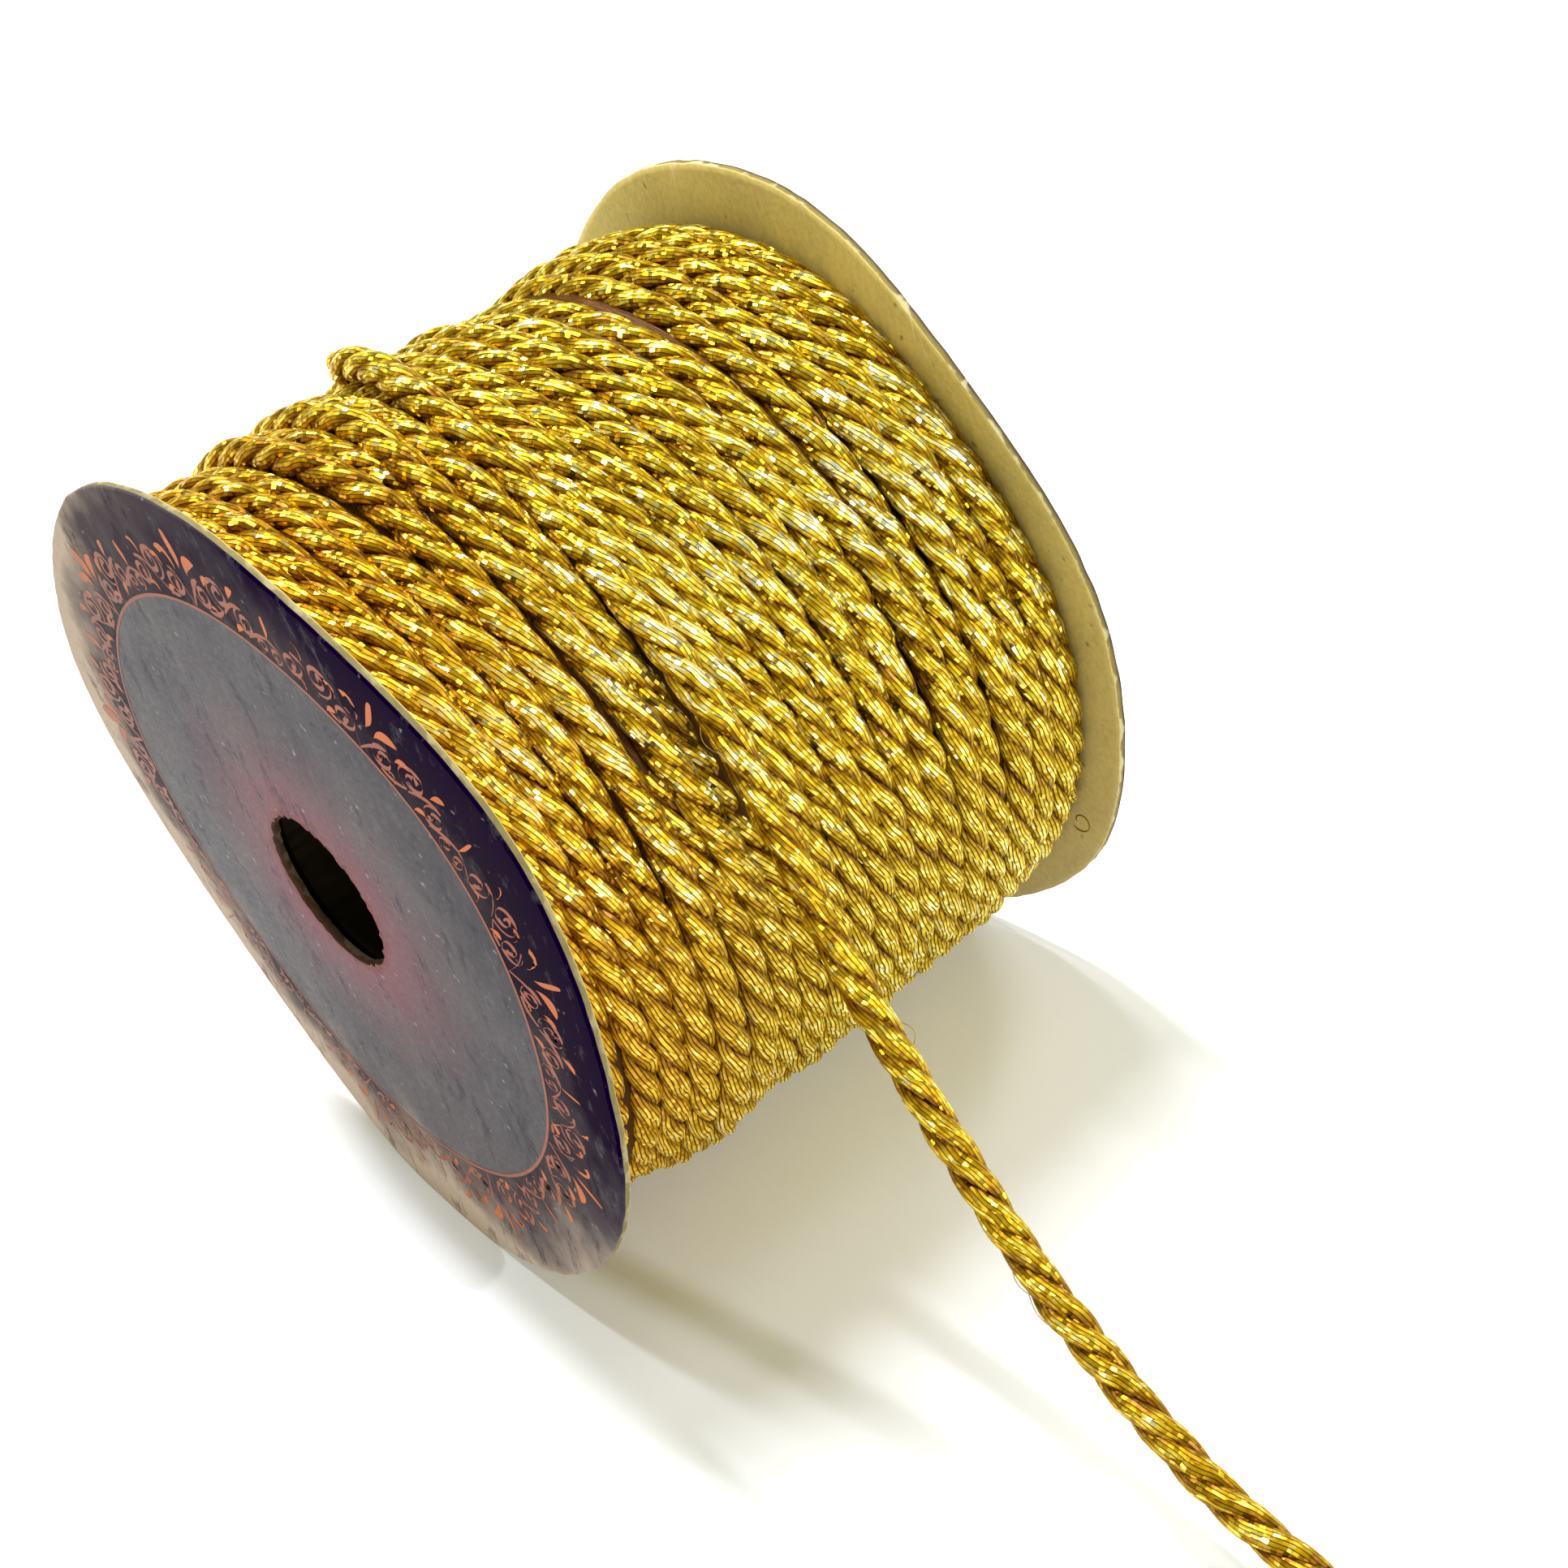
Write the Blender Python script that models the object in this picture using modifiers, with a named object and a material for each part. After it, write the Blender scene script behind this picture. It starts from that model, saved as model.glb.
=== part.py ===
"""Twisted cord wound on a cardboard spool.

The spool lies on the rims of its two board flanges, with its axis along X and the printed flange
at -X. A paperboard core joins the flanges, the cord is wound between them in side by side turns,
and its loose end leaves the winding on the -Y side and comes down to the floor.
Units are metres, +Z is up, and the origin is on the floor below the middle of the spool.
"""
import math

import bmesh
import bpy
from mathutils import Vector

MM = 0.001

# Spool
FLANGE_RADIUS = 45.0 * MM
BOARD = 1.5 * MM
INNER_WIDTH = 64.8 * MM
SPINDLE_RADIUS = 8.75 * MM
HUB_RADIUS = 13.0 * MM
CORE_BORE_RADIUS = 9.6 * MM
CORE_RADIUS = 11.6 * MM
GAP = 0.3 * MM
STEPS = 60
SHARP_ANGLE = math.radians(35.0)
STEP_ANGLE = 2.0 * math.pi / STEPS
FLAT_HALF_ANGLE = 1.5 * STEP_ANGLE
AXIS_HEIGHT = FLANGE_RADIUS * math.cos(FLAT_HALF_ANGLE)
MERGE_DISTANCE = 0.01 * MM
BOARD_STATIONS = (SPINDLE_RADIUS, HUB_RADIUS, 23.0 * MM, 34.0 * MM, FLANGE_RADIUS)

# Each flange is flat round its hub and warps towards its rim. Angles run about +X from +Y.
WARP_POWER = 1.5
WARP_FRONT = {"saddle": 1.0 * MM, "phase": math.radians(-34.0), "lean": 0.0}
WARP_BACK = {"saddle": 1.9 * MM, "phase": math.radians(47.0), "lean": 1.7 * MM}

# Winding
CORD_DIAMETER = 3.6 * MM
CORD_RADIUS = 0.5 * CORD_DIAMETER
TURNS = 18
COLUMNS_ACROSS_TURN = (0.0, 1.0 / 3.0, 2.0 / 3.0)
COLUMNS_ACROSS_LAST_TURN = (0.0, 0.1, 0.28, 0.5, 0.72, 0.9)
WINDING_RADIUS = 41.9 * MM
TURN_CENTRE_RADIUS = WINDING_RADIUS - CORD_RADIUS
VALLEY_DEPTH = 1.3 * MM
UNEVENNESS = 0.7 * MM
END_STATIONS = (CORE_RADIUS + GAP, HUB_RADIUS, 23.0 * MM, 34.0 * MM)

# The last turn, from its cut end on the far side of the top to where it leaves the winding.
# It lies on top of the others at both ends and sinks into the layer between them. The turns
# beside it give way to it, less and less over GIVE_WAY turns. Its angles are degrees, and its
# places along the spool and its lifts above the layer are millimetres.
LAST_TURN_INDEX = 6
GIVE_WAY = 3.5
LAST_TURN = (
    {"angle": 64.0, "x": -4.6, "lift": 2.6},
    {"angle": 74.0, "x": -5.6, "lift": 2.5},
    {"angle": 84.0, "x": -6.5, "lift": 1.8},
    {"angle": 96.0, "x": -7.4, "lift": 0.8},
    {"angle": 108.0, "x": -8.0, "lift": 0.2},
    {"angle": 120.0, "x": -8.5, "lift": 0.4},
    {"angle": 132.0, "x": -9.0, "lift": 1.4},
    {"angle": 144.0, "x": -9.2, "lift": 2.9},
    {"angle": 156.0, "x": -9.25, "lift": 4.0},
)
LAST_TURN_FADE = 40.0
STEP_FACE_ANGLE = 0.4

# Loose end, from the point where it leaves the winding to its cut end on the floor. Places are
# millimetres from the middle of the spool's axis.
LOOSE_ROUTE = (
    {"along": -9.3, "out": -40.53, "up": 17.37},
    {"along": -9.6, "out": -44.2, "up": 9.7},
    {"along": -10.5, "out": -48.6, "up": 1.9},
    {"along": -11.2, "out": -53.8, "up": -5.8},
    {"along": -12.1, "out": -60.8, "up": -14.4},
    {"along": -13.8, "out": -70.6, "up": -22.9},
    {"along": -15.4, "out": -81.8, "up": -29.6},
    {"along": -16.5, "out": -95.2, "up": -35.1},
    {"along": -15.6, "out": -109.5, "up": -39.6},
    {"along": -12.8, "out": -123.5, "up": -42.3},
    {"along": -8.8, "out": -136.8, "up": -42.6},
)
SAMPLES_PER_SPAN = 20
LAY_LENGTH = 13.7 * MM
SECTIONS_PER_LAY = 8
LOBES = 3
POINTS_PER_LOBE = 3
LOBE_DEPTH = 0.24

COLLECTION_NAME = "twisted_cord_on_spool"

GOLD = (0.74, 0.52, 0.10)
LABEL_PURPLE = (0.10, 0.08, 0.17)
BOARD_KHAKI = (0.55, 0.50, 0.34)
CORE_BROWN = (0.30, 0.24, 0.14)


def clear_scene():
    for obj in list(bpy.data.objects):
        bpy.data.objects.remove(obj, do_unlink=True)


def make_collection(name):
    collection = bpy.data.collections.new(name)
    bpy.context.scene.collection.children.link(collection)
    return collection


def make_material(name, colour, roughness, metallic=0.0):
    material = bpy.data.materials.new(name)
    material.use_nodes = True
    shader = material.node_tree.nodes["Principled BSDF"]
    shader.inputs["Base Color"].default_value = (*colour, 1.0)
    shader.inputs["Roughness"].default_value = roughness
    shader.inputs["Metallic"].default_value = metallic
    return material


def rim_offset(angle, warp):
    """How far the rim stands off the flange's flat plane along +X."""
    saddle = warp["saddle"] * math.cos(2.0 * (angle - warp["phase"]))
    return saddle + warp["lean"] * math.sin(angle)


def board_shift(radius, angle, warp):
    """The board's warp along +X at a radius: none at the hub, all of it at the rim."""
    reach = (radius - HUB_RADIUS) / (FLANGE_RADIUS - HUB_RADIUS)
    reach = min(max(reach, 0.0), 1.0)
    return reach ** WARP_POWER * rim_offset(angle, warp)


def station_angle(index):
    return (index + 0.5) * STEP_ANGLE


def spool_centre_x():
    """X of the point midway between the outermost points of the two warped flanges."""
    angles = [station_angle(index) for index in range(STEPS)]
    half = 0.5 * INNER_WIDTH + BOARD
    low = min(-half + rim_offset(angle, WARP_FRONT) for angle in angles)
    high = max(half + rim_offset(angle, WARP_BACK) for angle in angles)
    return 0.5 * (low + high)


ORIGIN_X = spool_centre_x()


def turned_point(along, radius, angle):
    """A point from the spool's own axis, given by its place along it, its radius and its angle."""
    return Vector((along, radius * math.cos(angle), radius * math.sin(angle)))


def mesh_object(name, mesh, collection, material):
    mesh.materials.append(material)
    mesh.shade_smooth()
    mesh.set_sharp_from_angle(angle=SHARP_ANGLE)
    obj = bpy.data.objects.new(name, mesh)
    collection.objects.link(obj)
    return obj


def ring_loft_mesh(name, sections):
    """A mesh through closed sections with equal numbers of points, the last joined to the first."""
    bm = bmesh.new()
    rings = [[bm.verts.new(point) for point in section] for section in sections]
    for ring, next_ring in zip(rings, rings[1:] + rings[:1]):
        for i in range(len(ring)):
            j = (i + 1) % len(ring)
            bm.faces.new((ring[i], ring[j], next_ring[j], next_ring[i]))
    bmesh.ops.recalc_face_normals(bm, faces=bm.faces)
    mesh = bpy.data.meshes.new(name)
    bm.to_mesh(mesh)
    bm.free()
    return mesh


def turned_mesh(name, profile, collection):
    """A closed profile of (along, radius) points, turned about the X axis."""
    turned = math.cos(station_angle(0)), math.sin(station_angle(0))
    outline = bpy.data.meshes.new(name + "_profile")
    points = [(along, radius * turned[0], radius * turned[1]) for along, radius in profile]
    edges = [(i, (i + 1) % len(points)) for i in range(len(points))]
    outline.from_pydata(points, edges, [])
    obj = bpy.data.objects.new(name + "_profile", outline)
    collection.objects.link(obj)
    screw = obj.modifiers.new("turn", "SCREW")
    screw.axis = "X"
    screw.angle = 2.0 * math.pi
    screw.steps = STEPS
    screw.render_steps = STEPS
    screw.use_merge_vertices = True
    screw.merge_threshold = MERGE_DISTANCE
    mesh = bpy.data.meshes.new_from_object(obj.evaluated_get(bpy.context.evaluated_depsgraph_get()))
    mesh.name = name
    bpy.data.objects.remove(obj, do_unlink=True)
    bm = bmesh.new()
    bm.from_mesh(mesh)
    bmesh.ops.recalc_face_normals(bm, faces=bm.faces)
    bm.to_mesh(mesh)
    bm.free()
    return mesh


def place_on_axis(obj):
    """The object's own X axis becomes the spool's axis."""
    obj.location = (-ORIGIN_X, 0.0, AXIS_HEIGHT)


def warp_board(mesh, warp):
    for vertex in mesh.vertices:
        radius = math.hypot(vertex.co.y, vertex.co.z)
        vertex.co.x += board_shift(radius, math.atan2(vertex.co.z, vertex.co.y), warp)


def flatten_foot(mesh):
    """The rim's lowest points are drawn up to one level, the small flat that the spool rests on."""
    for vertex in mesh.vertices:
        vertex.co.z = max(vertex.co.z, -AXIS_HEIGHT)


def make_flange(name, inner_face, outward, warp, collection, guides, material):
    """A board disc: inner_face is its plane, and outward is the sign of its outer side along X."""
    outer_face = inner_face + outward * BOARD
    profile = [(inner_face, radius) for radius in BOARD_STATIONS]
    profile += [(outer_face, radius) for radius in reversed(BOARD_STATIONS)]
    mesh = turned_mesh(name, profile, guides)
    warp_board(mesh, warp)
    flatten_foot(mesh)
    place_on_axis(mesh_object(name, mesh, collection, material))


def make_core(collection, guides, material):
    half = 0.5 * INNER_WIDTH - GAP
    profile = (
        (-half, CORE_BORE_RADIUS),
        (half, CORE_BORE_RADIUS),
        (half, CORE_RADIUS),
        (-half, CORE_RADIUS),
    )
    mesh = turned_mesh("core_tube", profile, guides)
    place_on_axis(mesh_object("core_tube", mesh, collection, material))


def winding_limits(radius, angle):
    """Where the winding meets the two flanges at a radius and angle."""
    half = 0.5 * INNER_WIDTH - GAP
    low = -half + board_shift(radius, angle, WARP_FRONT)
    high = half + board_shift(radius, angle, WARP_BACK)
    return low, high


def layer_unevenness(turn, angle):
    """How far a turn has sunk below the fullest radius of the layer.

    Each turn is a little off centre, and the whole layer is a little out of round.
    """
    off_centre = math.sin(1.7 * turn) * math.cos(angle - 0.9 * turn)
    out_of_round = math.cos(2.0 * angle + 0.35 * turn)
    return UNEVENNESS * (0.5 - 0.3 * off_centre - 0.2 * out_of_round)


def last_turn_at(degrees):
    """The last turn's place along the spool and its lift above the layer, or None off its span."""
    for here, ahead in zip(LAST_TURN, LAST_TURN[1:]):
        if here["angle"] <= degrees <= ahead["angle"]:
            share = (degrees - here["angle"]) / (ahead["angle"] - here["angle"])
            along = here["x"] + share * (ahead["x"] - here["x"])
            lift = here["lift"] + share * (ahead["lift"] - here["lift"])
            return along * MM, lift * MM
    return None


def last_turn_place(degrees, usual_place):
    """Where the turn in the last turn's row lies: off its span it returns to its usual place."""
    found = last_turn_at(degrees)
    if found:
        return found[0]
    end = LAST_TURN[0] if degrees < LAST_TURN[0]["angle"] else LAST_TURN[-1]
    share = max(0.0, 1.0 - abs(degrees - end["angle"]) / LAST_TURN_FADE)
    ease = share * share * (3.0 - 2.0 * share)
    return usual_place + ease * (end["x"] * MM - usual_place)


def column_along(turn_place, angle, low, high):
    """Place along the spool of a column, given by its place counted in turns."""
    width = (high - low) / TURNS
    usual_place = low + width * (LAST_TURN_INDEX + 0.5)
    shift = last_turn_place(math.degrees(angle), usual_place) - usual_place
    turns_away = max(0.0, abs(turn_place - LAST_TURN_INDEX - 0.5) - 0.5)
    share = max(0.0, 1.0 - turns_away / GIVE_WAY)
    return low + width * turn_place + share * shift


def ridge_drop(across):
    """How far a turn's surface falls below its crest, across its width from 0 to 1."""
    aside = 2.0 * across - 1.0
    return min(CORD_RADIUS * (1.0 - math.sqrt(1.0 - aside * aside)), VALLEY_DEPTH)


def winding_height(turn_place, angle):
    """Outer radius of the winding: a ridge for each turn, and the last turn on top."""
    turn = min(math.floor(turn_place), TURNS - 1)
    across = turn_place - turn
    radius = WINDING_RADIUS - layer_unevenness(turn, angle) - ridge_drop(across)
    found = last_turn_at(math.degrees(angle))
    if found and turn == LAST_TURN_INDEX and across > 0.0:
        aside = 2.0 * across - 1.0
        radius = max(radius, TURN_CENTRE_RADIUS + found[1]
                     + CORD_RADIUS * math.sqrt(1.0 - aside * aside))
    return radius


def column_places():
    """Places across the winding, counted in turns, closer together on the last turn."""
    places = []
    for turn in range(TURNS):
        across = COLUMNS_ACROSS_LAST_TURN if turn == LAST_TURN_INDEX else COLUMNS_ACROSS_TURN
        places += [turn + share for share in across]
    places.append(float(TURNS))
    return places


def winding_angles():
    """The stations round the winding, with a close pair at each end of the last turn."""
    start = LAST_TURN[0]["angle"]
    end = LAST_TURN[-1]["angle"]
    degrees = [math.degrees(station_angle(index)) for index in range(STEPS)]
    degrees += [start - STEP_FACE_ANGLE, start, end, end + STEP_FACE_ANGLE]
    return [math.radians(value) for value in sorted(degrees)]


def winding_section(angle):
    """One closed section: out along the front end, across the turns, in along the back end."""
    section = []
    for radius in END_STATIONS:
        section.append(turned_point(winding_limits(radius, angle)[0], radius, angle))
    low, high = winding_limits(WINDING_RADIUS, angle)
    for turn_place in column_places():
        along = column_along(turn_place, angle, low, high)
        radius = winding_height(turn_place, angle)
        section.append(turned_point(along, radius, angle))
    for radius in reversed(END_STATIONS):
        section.append(turned_point(winding_limits(radius, angle)[1], radius, angle))
    return section


def make_winding(collection, material):
    sections = [winding_section(angle) for angle in winding_angles()]
    mesh = ring_loft_mesh("winding", sections)
    place_on_axis(mesh_object("winding", mesh, collection, material))


def smooth_curve(points, samples):
    """A Catmull-Rom curve through the points, with a number of samples in each span."""
    before = points[0] * 2.0 - points[1]
    after = points[-1] * 2.0 - points[-2]
    chain = [before, *points, after]
    curve = []
    for i in range(1, len(chain) - 2):
        a, b, c, d = chain[i - 1:i + 3]
        for k in range(samples):
            t = k / samples
            curve.append(0.5 * (2.0 * b + (c - a) * t + (2.0 * a - 5.0 * b + 4.0 * c - d) * t ** 2
                                + (3.0 * b - a - 3.0 * c + d) * t ** 3))
    curve.append(points[-1])
    return curve


def even_points(curve, spacing):
    """Points at equal distances along a dense curve, its two ends among them."""
    lengths = [0.0]
    for a, b in zip(curve, curve[1:]):
        lengths.append(lengths[-1] + (b - a).length)
    count = max(2, round(lengths[-1] / spacing))
    points = []
    span = 0
    for k in range(count + 1):
        target = lengths[-1] * k / count
        while span < len(lengths) - 2 and lengths[span + 1] < target:
            span += 1
        share = (target - lengths[span]) / (lengths[span + 1] - lengths[span])
        points.append(curve[span].lerp(curve[span + 1], share))
    return points


def make_strand_profile(collection):
    """The cord's cross-section, with one rounded lobe for each strand."""
    count = LOBES * POINTS_PER_LOBE
    curve = bpy.data.curves.new("strand_profile", "CURVE")
    curve.dimensions = "2D"
    spline = curve.splines.new("POLY")
    spline.points.add(count - 1)
    spline.use_cyclic_u = True
    for i in range(count):
        angle = -2.0 * math.pi * i / count
        radius = CORD_RADIUS * (1.0 - LOBE_DEPTH * (0.5 - 0.5 * math.cos(LOBES * angle)))
        spline.points[i].co = (radius * math.cos(angle), radius * math.sin(angle), 0.0, 1.0)
    profile = bpy.data.objects.new("strand_profile", curve)
    profile.hide_render = True
    profile.display_type = "WIRE"
    collection.objects.link(profile)
    return profile


def make_loose_cord(collection, guides, material):
    """The loose end: a curve that carries the three-lobed section and turns it by its tilt."""
    route = [Vector((stop["along"], stop["out"], stop["up"])) * MM for stop in LOOSE_ROUTE]
    points = even_points(smooth_curve(route, SAMPLES_PER_SPAN), LAY_LENGTH / SECTIONS_PER_LAY)
    curve = bpy.data.curves.new("loose_cord", "CURVE")
    curve.dimensions = "3D"
    curve.twist_mode = "MINIMUM"
    curve.bevel_mode = "OBJECT"
    curve.bevel_object = make_strand_profile(guides)
    curve.use_fill_caps = True
    spline = curve.splines.new("POLY")
    spline.points.add(len(points) - 1)
    for i, point in enumerate(points):
        spline.points[i].co = (*point, 1.0)
        spline.points[i].tilt = -2.0 * math.pi * i / SECTIONS_PER_LAY
    curve.materials.append(material)
    obj = bpy.data.objects.new("loose_cord", curve)
    place_on_axis(obj)
    collection.objects.link(obj)


def main():
    clear_scene()
    parts = make_collection(COLLECTION_NAME)
    guides = make_collection("guides")
    gold = make_material("gold_cord", GOLD, 0.38, 0.8)
    label = make_material("printed_label", LABEL_PURPLE, 0.45)
    board = make_material("board", BOARD_KHAKI, 0.75)
    core = make_material("core_board", CORE_BROWN, 0.85)
    half = 0.5 * INNER_WIDTH
    make_flange("flange_front", -half, -1.0, WARP_FRONT, parts, guides, label)
    make_flange("flange_back", half, 1.0, WARP_BACK, parts, guides, board)
    make_core(parts, guides, core)
    make_winding(parts, gold)
    make_loose_cord(parts, guides, gold)


main()
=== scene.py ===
import math

import bmesh
import bpy
import numpy as np
from mathutils import Matrix, Vector


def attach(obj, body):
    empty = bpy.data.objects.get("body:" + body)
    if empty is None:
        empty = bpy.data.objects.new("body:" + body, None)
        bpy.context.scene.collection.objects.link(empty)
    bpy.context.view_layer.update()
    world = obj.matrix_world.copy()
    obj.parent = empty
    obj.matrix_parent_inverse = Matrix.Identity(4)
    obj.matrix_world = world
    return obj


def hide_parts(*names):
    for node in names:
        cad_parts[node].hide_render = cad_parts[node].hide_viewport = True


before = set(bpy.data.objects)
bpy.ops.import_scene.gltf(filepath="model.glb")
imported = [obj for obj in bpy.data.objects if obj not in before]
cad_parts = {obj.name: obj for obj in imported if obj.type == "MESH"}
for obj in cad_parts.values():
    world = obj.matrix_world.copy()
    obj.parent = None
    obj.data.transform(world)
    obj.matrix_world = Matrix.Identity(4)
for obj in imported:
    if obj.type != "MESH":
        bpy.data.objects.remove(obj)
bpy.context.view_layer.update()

MM = 0.001
FLANGE_RADIUS = 45.0
BOARD = 1.5
INNER_HALF = 32.4  # from the spool's middle to the inner face of each flange
SPINDLE_RADIUS = 8.75
HUB_RADIUS = 13.0  # the boards are flat out to here and warped beyond
FLAT_HALF_ANGLE = math.radians(9.0)  # half of the flat on which each flange stands
AXIS_HEIGHT = FLANGE_RADIUS * math.cos(FLAT_HALF_ANGLE)
ORIGIN_X = 1.1059  # from the spool's middle to the model's origin
WARP_POWER, BEND_POWER = 1.5, 3
BEND_ORDERS = 8  # the rim's bends are rebuilt from their waves below this order
# The rim's finer bends are stated every 20 degrees from +Y, over the top and round.
WARP_FRONT = {"saddle": 1.0, "phase": math.radians(-34.0), "lean": 0.0,
              "bends": (0.0, 0.2, 0.9, 0.9, 0.2, -0.5, -0.85, 0.25, 0.25, -0.7, -0.95, -0.9,
                        -0.9, -0.8, -0.7, -0.1, 0.3, 0.3)}
WARP_BACK = {"saddle": 1.9, "phase": math.radians(47.0), "lean": 1.7,
             "bends": (-0.5, 0.0, 0.2, -0.6, -0.7, 0.1, -0.8, -1.35, -0.7, -0.8, -1.4, -0.4,
                       -0.2, -0.2, -0.2, -0.3, -0.4, -0.5)}

CORD_DIAMETER = 3.6
LAY = 13.7  # the length of cord in which its strands go once round
STRANDS = 3
STRAND_CENTRE = 0.80  # a strand's centre line lies this far from the cord's
STRAND_OUT = 0.96  # half of a strand's thickness, away from the cord's middle
STRAND_ASIDE = 1.10  # and across that
FILAMENT_TWIST = 0.92  # the filaments' turns about a strand in one lay
TURN_CENTRE = 40.1  # radius of a wound turn's centre line


# ---- camera
CAMERA_PLACE = (-102.818, -186.944, 187.537)
CAMERA_RIGHT = (0.72193582, -0.65992748, -0.20809707)
CAMERA_DOWN = (-0.53483095, -0.3413515, -0.7729392)
CAMERA_FORWARD = (0.43904958, 0.66930925, -0.59938352)
camera = bpy.data.objects.new("camera", bpy.data.cameras.new("camera"))
bpy.context.scene.collection.objects.link(camera)
camera.data.sensor_width = 36.0
camera.data.lens = 56.54
camera.data.clip_start = 0.01
right, down, forward = Vector(CAMERA_RIGHT), Vector(CAMERA_DOWN), Vector(CAMERA_FORWARD)
turn = Matrix((right, -down, -forward)).transposed()
camera.matrix_world = Matrix.Translation(Vector(CAMERA_PLACE) * MM) @ turn.to_4x4()
bpy.context.scene.camera = camera


# ---- shapes
def to_world(points):
    """Millimetres from the middle of the spool's axis, as metres in the model's frame."""
    return (np.asarray(points, float) + (-ORIGIN_X, 0.0, AXIS_HEIGHT)) * MM


def board_shift(radius, angle, warp):
    """How far a flange's warp moves a point of it along the spool's axis."""
    reach = np.clip((np.asarray(radius) - HUB_RADIUS) / (FLANGE_RADIUS - HUB_RADIUS), 0.0, None)
    rim = warp["saddle"] * np.cos(2.0 * (angle - warp["phase"])) + warp["lean"] * np.sin(angle)
    bends = np.fft.rfft(warp["bends"]) / len(warp["bends"])
    fine = bends[0].real + sum(2.0 * (wave * np.exp(1j * order * np.asarray(angle))).real
                               for order, wave in enumerate(bends[1:BEND_ORDERS], start=1))
    return reach ** WARP_POWER * rim + reach ** BEND_POWER * fine


def new_object(name, mesh, materials, replaces=()):
    for material in materials:
        mesh.materials.append(material)
    obj = bpy.data.objects.new(name, mesh)
    bpy.context.scene.collection.objects.link(obj)
    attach(obj, "root")
    if replaces:
        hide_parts(*replaces)
    return obj


def quads_mesh(name, vertices, quads, corner_uv=None):
    """A smooth mesh of quads. corner_uv has a place for each quad's corners, by layer's name."""
    mesh = bpy.data.meshes.new(name)
    mesh.vertices.add(len(vertices))
    mesh.vertices.foreach_set("co", np.asarray(vertices, np.float32).ravel())
    mesh.loops.add(quads.size)
    mesh.loops.foreach_set("vertex_index", quads.ravel().astype(np.int32))
    mesh.polygons.add(len(quads))
    mesh.polygons.foreach_set("loop_start", np.arange(0, quads.size, 4, dtype=np.int32))
    mesh.update(calc_edges=True)
    for layer, values in (corner_uv or {}).items():
        mesh.uv_layers.new(name=layer).data.foreach_set("uv", values.astype(np.float32).ravel())
    mesh.shade_smooth()
    mesh.validate()
    return mesh


def cubic(a, b, c, d, t):
    """The smooth curve from b to c, where a and d are the values before and after them."""
    return 0.5 * (2 * b + (c - a) * t + (2 * a - 5 * b + 4 * c - d) * t ** 2
                  + (3 * b - a - 3 * c + d) * t ** 3)


def smooth_noise(length, step, seed):
    """A smooth random wave between about -1 and 1, with a new value every step samples."""
    generator = np.random.default_rng(seed)
    knots = generator.uniform(-1.0, 1.0, int(length / step) + 5)
    place = np.arange(length) / step
    i = place.astype(int)
    return cubic(knots[i], knots[i + 1], knots[i + 2], knots[i + 3], place - i)


def catmull_rom(points, samples):
    """A smooth path through points, with a number of samples in each span."""
    points = np.asarray(points, float)
    chain = np.vstack([2 * points[0] - points[1], points, 2 * points[-1] - points[-2]])
    t = (np.arange(samples) / samples)[:, None]
    spans = [cubic(*chain[i - 1:i + 3], t) for i in range(1, len(chain) - 2)]
    return np.vstack(spans + [points[-1:]])


def path_lengths(path):
    return np.concatenate([[0.0], np.cumsum(np.linalg.norm(np.diff(path, axis=0), axis=1))])


def resample(path, spacing):
    lengths = path_lengths(path)
    count = max(2, int(round(lengths[-1] / spacing)))
    targets = np.linspace(0.0, lengths[-1], count + 1)
    return np.stack([np.interp(targets, lengths, path[:, k]) for k in range(3)], axis=1)


def unit(vectors):
    return vectors / np.linalg.norm(vectors, axis=-1, keepdims=True)


def path_frames(path):
    """Tangents and a pair of cross directions that don't turn about the path."""
    tangents = unit(np.gradient(path, axis=0))
    normals = np.empty_like(path)
    seed = np.array([1.0, 0.0, 0.0]) if abs(tangents[0][0]) < 0.8 else np.array([0.0, 0.0, 1.0])
    normals[0] = unit(seed - tangents[0] * seed.dot(tangents[0]))
    for i in range(1, len(path)):
        step = path[i] - path[i - 1]
        mirrored = normals[i - 1] - 2.0 * step * step.dot(normals[i - 1]) / step.dot(step)
        tangent = tangents[i - 1] - 2.0 * step * step.dot(tangents[i - 1]) / step.dot(step)
        fix = tangents[i] - tangent
        size = fix.dot(fix)
        normals[i] = mirrored if size < 1e-18 else mirrored - 2.0 * fix * fix.dot(mirrored) / size
    return tangents, normals, np.cross(tangents, normals)


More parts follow.
